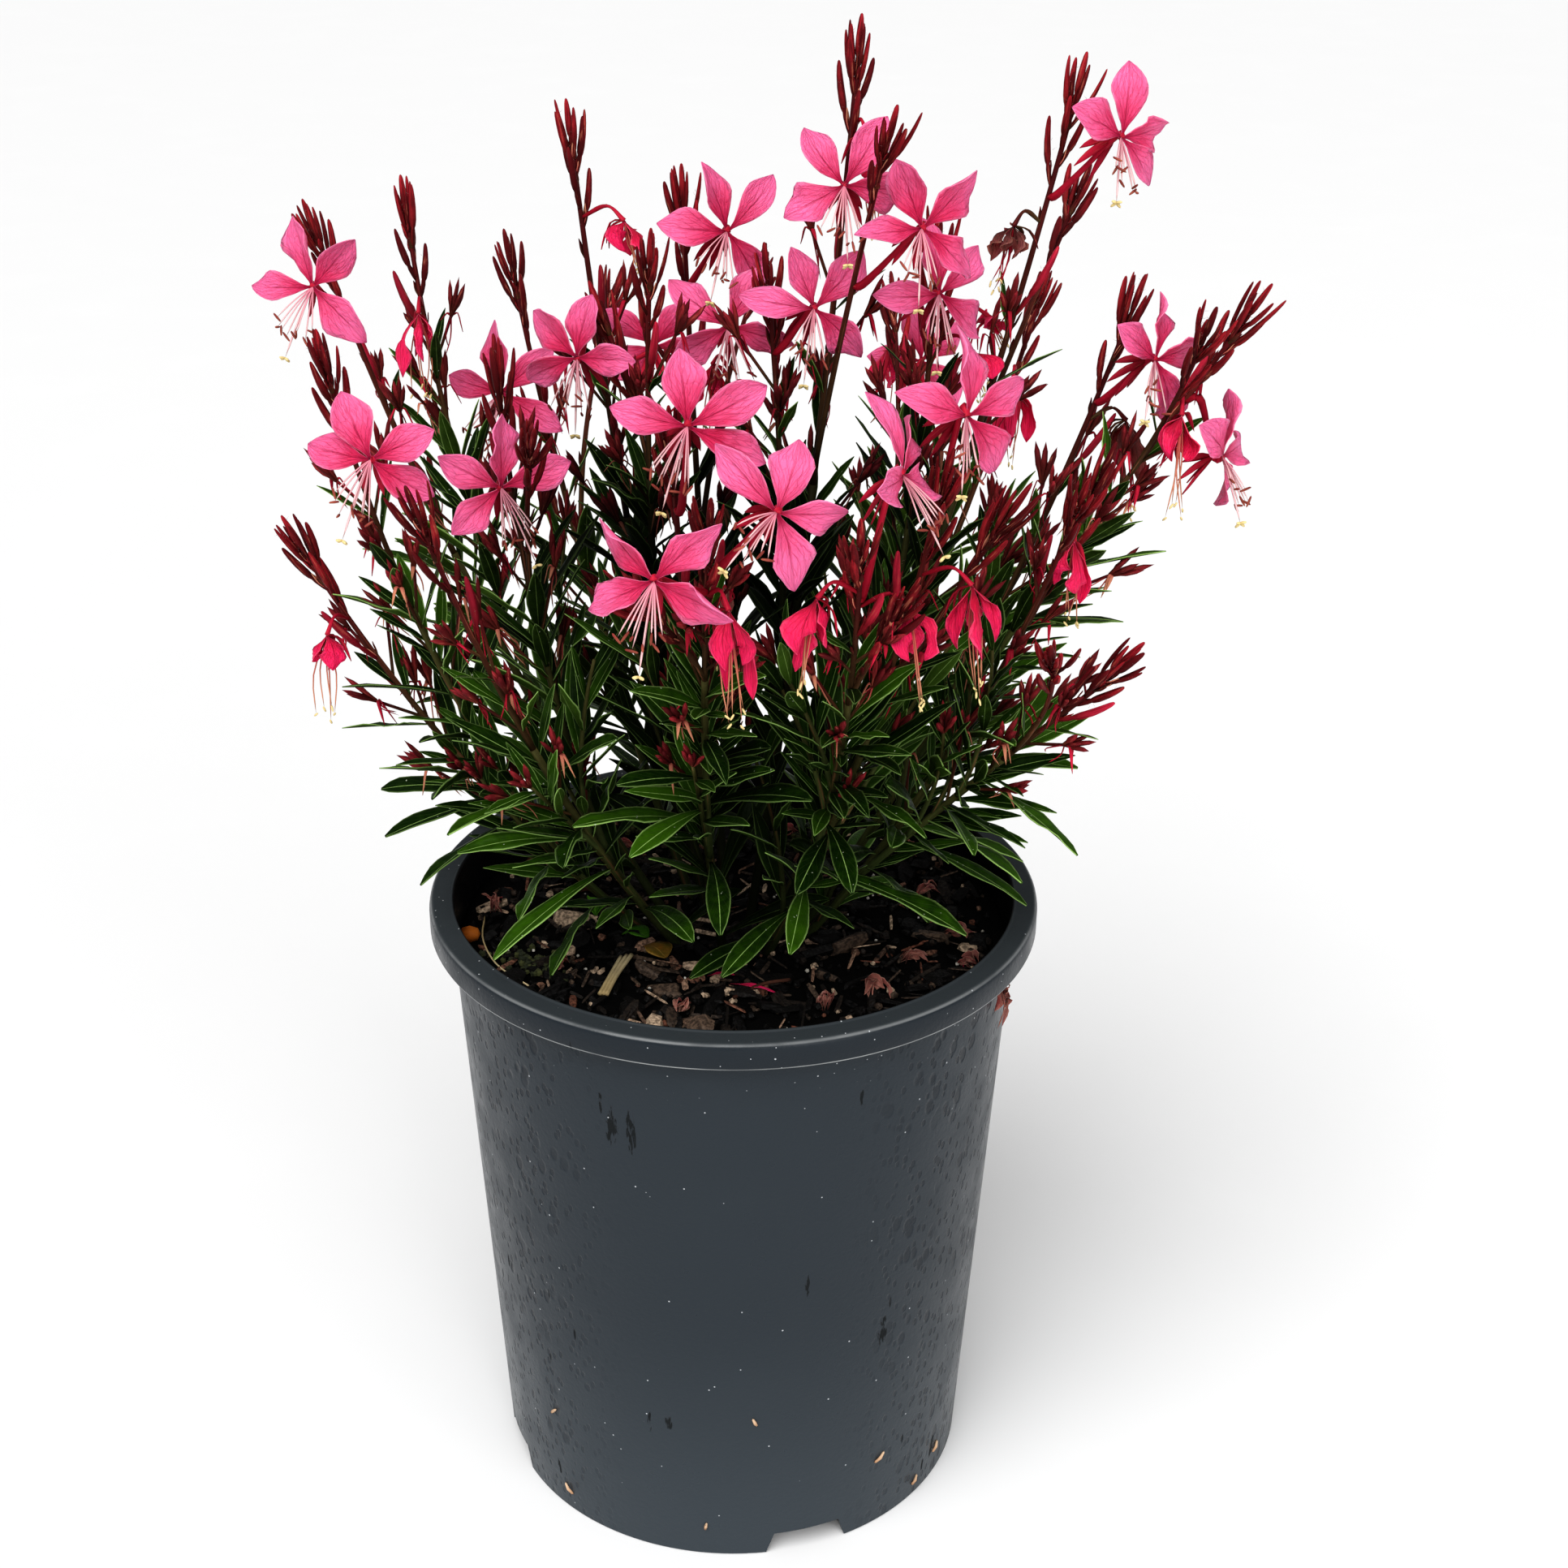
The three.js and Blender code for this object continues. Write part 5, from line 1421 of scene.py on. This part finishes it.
pot_blank, cutter = blank_object("pot_blank", pot_bm), blank_object("cutter", cutter_bm)
cut = pot_blank.modifiers.new("holes", "BOOLEAN")
cut.operation, cut.object, cut.solver = "DIFFERENCE", cutter, "EXACT"
pot_mesh = bpy.data.meshes.new_from_object(pot_blank.evaluated_get(bpy.context.evaluated_depsgraph_get()))
pot_mesh.name = "pot_wall"
for blank in (pot_blank, cutter):
    bpy.data.objects.remove(blank)
pot_mesh.shade_smooth()
pot_mesh.set_sharp_from_angle(angle=math.radians(38))
pot_mesh.materials.clear()
print("pot", len(pot_mesh.polygons), "faces")

# %% [markdown]
# The plastic is a dull slate grey. It has a faint orange-peel skin, small dents that run down
# both flanks, with painted shade in them, a few dark scratches, and dust. Pale painted highlights
# run along the edges of the band and the lip, and the inside is painted near black as painted
# shade. The nodes find a point's bearing round the pot, so scratches can run straight down.

# %% Pot plastic
STREAKS = ((-110.2, 173.3, 1.5, 7.5), (-114.2, 174.0, 1.9, 6.5), (-116.3, 182.1, 0.7, 4.0),
           (-55.3, 86.0, 1.7, 6.2), (-74.4, 114.6, 0.8, 4.0), (-64.7, 184.6, 0.7, 3.0),
           (-104.6, 57.6, 1.3, 2.8), (-109.2, 56.5, 0.7, 4.0), (-137.2, 16.8, 1.2, 3.2),
           (-31.6, 14.0, 1.6, 4.6))
MEAN_RADIUS, DENT_STRETCH, SCRATCH_STRETCH = 0.087, 0.6, 0.22
BAND_EDGE, LIP_EDGE, DENTS_TOP = 0.2049, 0.2130, (0.2025, 0.2)
PALE_FOOT, BAND_SHADOW, RIM_TOP = (0.11, 0.0), (0.2041, 0.2046), (0.2131, 0.2134)
WALL_SLOPE, SHADED_INSIDE = 0.0611, (0.0797, 0.0791)
plastic = Paint("slate_plastic", Specular_IOR_Level=0.2)
x, y, z = split(plastic.place)
reach = (x * x + y * y).maths("SQRT")
bearing = y.maths("ARCTAN2", x)
round_wall = bearing * MEAN_RADIUS
down, dents_place = combine(round_wall, z * SCRATCH_STRETCH), combine(round_wall, z * DENT_STRETCH)

flank = abs(x).rise(0.03, 0.075)
dents = spots(dents_place, 5.2, 0.4) * (flank * noise(plastic.place, 26, 2).rise(0.42, 0.62))
dents = dents.max(spots(dents_place, 3.0, 0.36) * (flank * 0.9)) * z.rise(*DENTS_TOP)
scratches = spots(down, 9.0, 0.075) * noise(plastic.place, 40).rise(0.5, 0.6)
ragged = noise(down, 0.9, 4).rise(0.3, 0.7, -0.8, 0.9)
for bearing_degrees, middle, half_wide, half_tall in STREAKS:
    over = (bearing - math.radians(bearing_degrees)) * (MEAN_RADIUS / MM / half_wide)
    tall = (z - middle * MM) * (1 / MM / half_tall)
    scratches = scratches.max((over * over + tall * tall + ragged).rise(1.0, 0.3))
dust = spots(plastic.place, 6.5, 0.055).max(spots(plastic.place, 3.4, 0.085) * z.rise(0.185, 0.205))

slate = mottled(plastic, 45, (0.023, 0.03, 0.037), (0.033, 0.041, 0.048))
slate = blend(z.rise(*PALE_FOOT), slate, (0.037, 0.047, 0.056))
slate = blend(z.rise(*BAND_SHADOW) * 0.42, slate, (0.003, 0.005, 0.008))
rim_top = z.rise(*RIM_TOP)
slate = blend(rim_top, slate, (0.028, 0.034, 0.038))
# Painted highlights: pale lines along the foot edge of the band and the outer edge of the lip.
edges = abs(z - BAND_EDGE).rise(0.00042, 0.0001).max(abs(z - LIP_EDGE).rise(0.0005, 0.0001) * 0.5)
edges = edges * reach.rise(0.0982, 0.0992) * noise(plastic.place, 22).rise(0.3, 0.6, 0.35, 0.9)
slate = blend(edges, slate, (0.3, 0.31, 0.31))
# Painted shade in the dents: they are darkened here and pressed in by the bump below.
slate = blend(dents * 0.65, slate, (0.002, 0.004, 0.008))
slate = blend(scratches * 0.85, slate, (0.004, 0.005, 0.005))
slate = blend(dust * 0.8, slate, (0.5, 0.52, 0.54))
# Painted shade: the inside of the wall goes near black.
slate = blend((reach - z * WALL_SLOPE).rise(*SHADED_INSIDE), slate, (0.004, 0.004, 0.005))

rough = noise(plastic.place, 14, 5).rise(0.3, 0.7, 0.27, 0.4) + scratches.max(rim_top) * 0.4
height = noise(plastic.place, 1.6) * 0.6 - dents * 1.5 - scratches
plastic.wear(slate, rough, bump(height, 0.2))
finish_mesh("pot_wall", pot_mesh, "slate_plastic", "pot_plastic", "pot")

# %% Husks and a dried petal that stick to the pot
HUSKS = ((-137.2, 41.4, 1), (-134.2, 9, -1.4), (-85.2, 59.7, -0.5), (-53.1, 29.5, 1.5), (-39, 6.5, 1),
         (-96.5, 12.8, 0.2), (-29.6, 12, 1.2), (150, 60, 1), (20, 90, 1))
STUCK_BEARING, STUCK_PETALS, STUCK_THREADS = -25.5, 4, 3
stuck_bm = new_bmesh()


def wall_point(bearing_degrees, height, off=0.0):
    out = bearing_vector(bearing_degrees)
    return out * (body_radius(height) + off) + UP * height


for bearing_degrees, height, slant in HUSKS:
    corners = [wall_point(bearing_degrees + slant * side, height + 1.6 * side, 0.1 if side else 0.7)
               for side in (-1, 0, 1)]
    lay(stuck_bm, grain, smooth_line(corners, 6), UP, 0.62, either(0, 1), 0)
for i in range(STUCK_PETALS + STUCK_THREADS):
    start = wall_point(STUCK_BEARING + either(-1.5, 1.5), 203 + either(-3, 0), 0.6)
    end = wall_point(STUCK_BEARING + either(-3.5, 3.5), either(184, 199), either(0.4, 4))
    middle = toward(start, end, 0.5) + bearing_vector(STUCK_BEARING) * either(1, 3)
    master, half = (creased_petal, either(0.7, 1.5)) if i < STUCK_PETALS else (thread, 0.25)
    lay(stuck_bm, master, smooth_line([start, middle, end], 10), UP + SIDEWAYS * 0.1, half,
        either(0, 1), 1, twist=either(-2, 2))
skin_paint("husk", (0.5, 0.3, 0.18), (0.7, 0.5, 0.34), 0.3, 0.7)
finish("stuck_husks", stuck_bm, "husk petal_dry", "bark_mix")

# %% [markdown]
# ## Potting mix
# Potting mix for shrubs is mostly composted bark: crumbs almost black, with chips up to the size
# of a fingernail. The mix itself is spun like the pot, and its top is pushed up and down a
# little. Beveled, dented blocks are scattered over it as the chips.

# %% The mix, and its uneven top
SOIL_RINGS, SOIL_STEPS, CRUMB_DEPTH, LEVEL_EDGE = 34, 96, 1.3, 6


def soil_height(x, y):
    long = math.sin(x * 0.11 + 1.3) * math.cos(y * 0.13 - 0.4)
    short = math.sin(x * 0.37 + y * 0.21) * math.sin(y * 0.41 - x * 0.17)
    return SOIL_LEVEL + SOIL_RIPPLE * (0.6 * long + 0.4 * short)


def soil_spot(x, y, above=1.5):
    return vec(x, y, soil_height(x, y) + above)


soil_rim, soil_floor = inner_radius(SOIL_LEVEL) - 2 * GAP, FLOOR_TOP + GAP
profile = [(soil_floor, 0), (soil_floor, inner_radius(soil_floor) - 2 * GAP)]
profile += [(SOIL_LEVEL, soil_rim * (1 - i / SOIL_RINGS)) for i in range(SOIL_RINGS + 1)]
soil_bm = spin_profile(profile, SOIL_STEPS)
for vert in soil_bm.verts:
    if vert.co.z > SOIL_LEVEL - 1:
        x, y = vert.co.x, vert.co.y
        edge = min(1, (soil_rim - math.hypot(x, y)) / LEVEL_EDGE)
        crumbs = lumps((x * 0.22, y * 0.22, 0)) + 0.6 * lumps((x * 0.6, y * 0.6, 9))
        vert.co.z = soil_height(x, y) + CRUMB_DEPTH * crumbs * edge
for face in soil_bm.faces:
    face.smooth = True
print("mix", len(soil_bm.faces), "faces")


# %% Chips of bark
def chip_master(name, seed_number, bevel, dent):
    bm = new_bmesh()
    bmesh.ops.create_cube(bm, size=2)
    bmesh.ops.bevel(bm, geom=bm.edges[:], offset=bevel, offset_type="OFFSET", affect="EDGES",
                    segments=1, profile=0.5, material=-1)
    dice = random.Random(seed_number)
    for vert in bm.verts:
        for axis in range(3):
            vert.co[axis] += dice.uniform(-dent, dent)
    bmesh.ops.recalc_face_normals(bm, faces=bm.faces[:])
    return Master(name, bm, False)


def set_down(master, centre, half, turn, lean, roll, tint, paint):
    spin = Matrix.Rotation(turn, 3, "Z") @ Matrix.Rotation(lean, 3, "X") @ Matrix.Rotation(roll, 3, "Y")
    master.add(soil_bm, (master.rest * half) @ np.array(spin).T + centre, tint, paint)


def scatter(margin):
    """A spot on the mix that is at least that far from the wall."""
    out, turn = (soil_rim - margin) * math.sqrt(random.random()), either(0, 2 * math.pi)
    return out * math.cos(turn), out * math.sin(turn)


BARK, GRIT, MOSS = 1, 2, 3
CHIPS, CRUMBS, GRITS, SPLINTERS, MOSS_CRUMBS = 620, 800, 70, 330, 45
CHIP_SMALLEST, CHIP_MORE = 1.5, 5.5
MOSS_PLACES = ((-69, -24, 9), (-62, -30, 7), (20, 60, 9), (-30, 66, 7))
chips = [chip_master(f"chip_{i}", i, 0.45, 0.24) for i in range(5)]
crumb = chip_master("crumb", 77, 0.5, 0.2)
splinter = chip_master("splinter", 31, 0.3, 0.16)
for _ in range(CHIPS):
    x, y = scatter(5)
    size = CHIP_SMALLEST + CHIP_MORE * random.random() ** 3
    half = vec(size, size * either(0.3, 0.6), size * either(0.12, 0.3) + 0.2)
    set_down(random.choice(chips), soil_spot(x, y, either(0.0, 1.6)), half, either(0, math.pi),
             either(-0.5, 0.5), either(-0.45, 0.45), random.random(), BARK)
for i in range(CRUMBS + GRITS):
    x, y = scatter(3)
    size = either(0.4, 1.2) if i < CRUMBS else either(0.25, 0.55)
    set_down(crumb, soil_spot(x, y, either(0.3, 1.8)), size, either(0, 3),
             either(-1, 1), either(-1, 1), random.random(), BARK if i < CRUMBS else GRIT)
for _ in range(SPLINTERS):
    x, y = scatter(6)
    half = vec(either(1.6, 5.5), either(0.3, 0.8), either(0.12, 0.3))
    set_down(splinter, soil_spot(x, y, either(1.0, 2.4)), half, either(0, math.pi),
             either(-0.7, 0.7), either(-0.35, 0.35), either(0.6, 1), BARK)
for x, y, spread in MOSS_PLACES:
    for _ in range(MOSS_CRUMBS):
        spot = x + random.gauss(0, spread / 2), y + random.gauss(0, spread / 2)
        set_down(crumb, soil_spot(*spot, either(0.8, 2.2)), either(0.5, 1.0), either(0, 3), 0.0, 0.0,
                 random.random(), MOSS)

# %% Paints of the mix
mix_paint = Paint("black_mix", Roughness=0.85, Specular_IOR_Level=0.08)
mix_paint.wear(mottled(mix_paint, 3, (0.001, 0.0008, 0.0007), (0.006, 0.0048, 0.004)), None,
               bump(noise(mix_paint.place, 1.5, 6), 1.2))

BARK_TONES = ((0.0, (0.001, 0.001, 0.001)), (0.97, (0.55, 0.41, 0.29)), (0.62, (0.004, 0.0035, 0.003)),
              (0.8, (0.03, 0.022, 0.017)), (0.89, (0.115, 0.078, 0.055)), (0.93, (0.17, 0.058, 0.034)))
bark_paint = Paint("bark", Specular_IOR_Level=0.14)
tones = put("ValToRGB", {0: bark_paint.tint})
stops = tones.socket.node.color_ramp.elements
for i, (place, tone) in enumerate(BARK_TONES):
    stop = stops[i] if i < 2 else stops.new(place)
    stop.position, stop.color = place, (*tone, 1)
grainy = noise(bark_paint.place, 1.1, 6)
colour = blend(grainy.rise(0.35, 0.65, 0.0, 0.7), tones, (0.004, 0.003, 0.003))
bark_paint.wear(colour, grainy.rise(0.3, 0.7, 0.4, 0.75), bump(grainy, 0.4))

for name, roughness, size, deep, pale in (
        ("white_grit", 0.8, 1, (0.3, 0.28, 0.24), (0.6, 0.58, 0.52)),
        ("moss", 0.9, 1.5, (0.008, 0.012, 0.002), (0.05, 0.055, 0.012))):
    paint = Paint(name, Roughness=roughness)
    paint.wear(mottled(paint, size, deep, pale))
finish("potting_mix_top", soil_bm, "black_mix bark white_grit moss", "bark_mix", "potting_mix")
print("mix", totals)

# %% [markdown]
# ## What has fallen on the mix
# Spent flowers dry up and drop round the plant. They are the same petals, curled hard. A straw
# stalk, a bead of slow-release feed, a fine root, a seedling and a few leaf bits lie there too.

# %% Fallen flowers
FALLEN = ((-81, 11, 6), (-16, -55, 6.5), (44, -42, 7.5), (58, -24, 6), (74, -8, 6), (75, -27, 4),
          (30, -52, 3.5), (-56, -29, 4), (66, 22, 5), (-40, 52, 6), (20, 66, 6), (-66, 46, 5), (62, 50, 5))
LOOSE_PETALS = ((-3.5, -36, 5, 5), (6.5, -45, -22, 8), (75, -27, 70, 3))
FALLEN_PETALS, FALLEN_SEPALS = 5, 2
fallen_bm = new_bmesh()
for x, y, size in FALLEN:
    heading = either(0, 360)
    for i in range(FALLEN_PETALS + FALLEN_SEPALS):
        out = bearing_vector(heading + either(-38, 38))
        start = soil_spot(x, y) - out * either(2, 5)
        end = start + out * size * either(0.9, 1.6) + UP * either(-0.5, 3)
        middle = toward(start, end, 0.5) + UP * either(0.6, 3) + np.cross(UP, out) * either(-2, 2)
        halves = either(0.8, 1.6), either(0.4, 0.7)
        master, half = (creased_petal, halves[0]) if i < FALLEN_PETALS else (sepal, halves[1])
        lay(fallen_bm, master, smooth_line([start, middle, end], 10), np.cross(UP, out), half,
            either(0, 1), 0, twist=either(-3, 3), ripple=(either(0.3, 0.7), either(8, 16), either(0, 6)))
for x, y, turn, size in LOOSE_PETALS:
    out = bearing_vector(turn)
    start, end = soil_spot(x, y) - out * size, soil_spot(x, y) + out * size
    lay(fallen_bm, petal, smooth_line([start, toward(start, end, 0.5) + UP, end], 8), np.cross(UP, out),
        1.1, either(0.4, 1), 1, ripple=(0.4, 9, either(0, 6)))
finish("fallen_flowers", fallen_bm, "petal_dry petal_withered", "petal_pink")

# %% Straw, bead, root and twigs
STRAW, TWIG, BEAD = range(3)
STICK_SIDE = vec(0.3, 0.9, 0.2)
litter_bm = new_bmesh()
for girth, tint, paint, *spots_along in (
        (0.75, 0.5, STRAW, (-42.1, -48, 2.2), (-39.1, -37, 3.2), (-36.26, -25.5, 2.6)),
        (0.75, 0.5, STRAW, (-41, -48, 2.2), (-38, -37, 3.2), (-34.5, -25.5, 2.6)),
        (0.75, 0.5, STRAW, (-40, -48, 2.2), (-37, -37, 3.2), (-32.9, -25.5, 2.6)),
        (0.3, 0.9, STRAW, (-83.4, 5.9, 2), (-82, -14, 3), (-76, -30, 2.4), (-65, -42, 1.6)),
        (0.8, 0.1, TWIG, (-56, 22, 2), (-48, 20, 3.4), (-40, 12, 1.8)),
        (0.6, 0.3, TWIG, (0, -50, 2), (9, -44, 3), (18, -38, 2)),
        (1.6, 0.9, TWIG, (-72, 38, 2), (-67, 50, 4), (-62, 56, 2))):
    line = smooth_line([soil_spot(*spot) for spot in spots_along], ROD_RINGS)
    lay(litter_bm, rod, line, STICK_SIDE, girth, tint, paint)
bead = [soil_spot(-86.5, -11, 3.2) + SIDEWAYS * s for s in np.linspace(-3.4, 3.4, 7)]
lay(litter_bm, grain, bead, UP, 3.0, 0.5, BEAD)
skin_paint("straw", (0.42, 0.32, 0.16), (0.6, 0.5, 0.3), 0.5, 0.7)
skin_paint("twig", (0.06, 0.025, 0.016), (0.14, 0.06, 0.04), 0.5, 0.8)
skin_paint("feed_bead", (0.34, 0.09, 0.012), (0.42, 0.13, 0.02), 0.2, 0.35)
finish("straw_and_twigs", litter_bm, "straw twig feed_bead", "bark_mix")

# %% Seedling and loose leaves
SEED_LEAVES, LEAF_BITS = 7, ((-33, -10, -20, 9, 3.6, 0), (-26, -22, -50, 11, 4.6, 1))
green_bm = new_bmesh()
for i in range(SEED_LEAVES):
    out, low = bearing_vector(i * 51 + 10), i < 4
    start = soil_spot(-46, 4, 1)
    middle = start + out * 2.5 + UP * (4 if low else 7)
    end = start + out * (6 if low else 3) + UP * (4.5 if low else 9)
    lay(green_bm, tuft_leaf, smooth_line([start, middle, end], 6), np.cross(UP, out), 1.5, 0.8, 0, 0)
for x, y, turn, length, wide, paint in LEAF_BITS:
    out = bearing_vector(turn)
    start = soil_spot(x, y, 2.5) - out * length * 0.4
    line = smooth_line([start, start + out * length * 0.5 + UP * 2, start + out * length + UP * 0.5], 7)
    lay(green_bm, blunt_leaf, line, np.cross(UP, out), wide, 0.5, paint, paint)
leaf_paint("seedling_green", (0.05, 0.2, 0.01), (0.13, 0.36, 0.03), (0.2, 0.5, 0.06), 0.45)
leaf_paint("turning_leaf", (0.1, 0.13, 0.02), (0.5, 0.16, 0.03), (0.5, 0.3, 0.08), 0.55)
finish("seedling_and_leaves", green_bm, "seedling_green turning_leaf", "leaf_green")
print("all", totals, sum(totals.values()))

# %% [markdown]
# ## Floor and light
# The photograph has flat light from all round, with more from above and hardly a shadow. A pale
# world gives the first and a very soft sun the second, and a panel in front lifts the pot.

# %% Floor
floor_bm = bmesh.new()
bmesh.ops.create_grid(floor_bm, x_segments=1, y_segments=1, size=9)
floor = blank_object("floor", floor_bm)
floor_paint = Paint("pale_floor", Roughness=0.9)
floor_paint.wear(mottled(floor_paint, 90, (0.8, 0.8, 0.8), (0.84, 0.84, 0.84)))
floor.data.materials.append(palette["pale_floor"])
floor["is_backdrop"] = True

# %% Light
WORLD_STRENGTH, PANEL_PLACE, PANEL_AIM = 0.37, Vector((0.9, -1.5, 0.9)), Vector((0, 0, 0.25))
world = bpy.data.worlds.new("pale_room")
world.use_nodes = True
background = world.node_tree.nodes["Background"].inputs
background["Color"].default_value = (1, 1, 1, 1)
background["Strength"].default_value = WORLD_STRENGTH
bpy.context.scene.world = world


def hang_light(name, kind, power, turned, place=(0, 0, 0)):
    light = bpy.data.lights.new(name, kind)
    light.energy = power
    lamp = bpy.data.objects.new(name, light)
    lamp.location, lamp.rotation_euler = place, turned
    bpy.context.scene.collection.objects.link(lamp)
    return light


hang_light("high_window", "SUN", 2.6, (math.radians(38), 0, math.radians(-24))).angle = math.radians(50)
to_aim = (PANEL_AIM - PANEL_PLACE).to_track_quat("-Z", "Y").to_euler()
hang_light("front_panel", "AREA", 12, to_aim, PANEL_PLACE).size = 1.2
bpy.context.scene.view_settings.view_transform = "Standard"
bpy.context.scene.view_settings.look = "Medium High Contrast"

# %% The finished box and the measured one
boxes = {"cad": cad_box, "visual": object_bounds()}
{name: [list(map(float, corner)) for corner in box] for name, box in boxes.items()}
print("visual box", boxes["visual"])
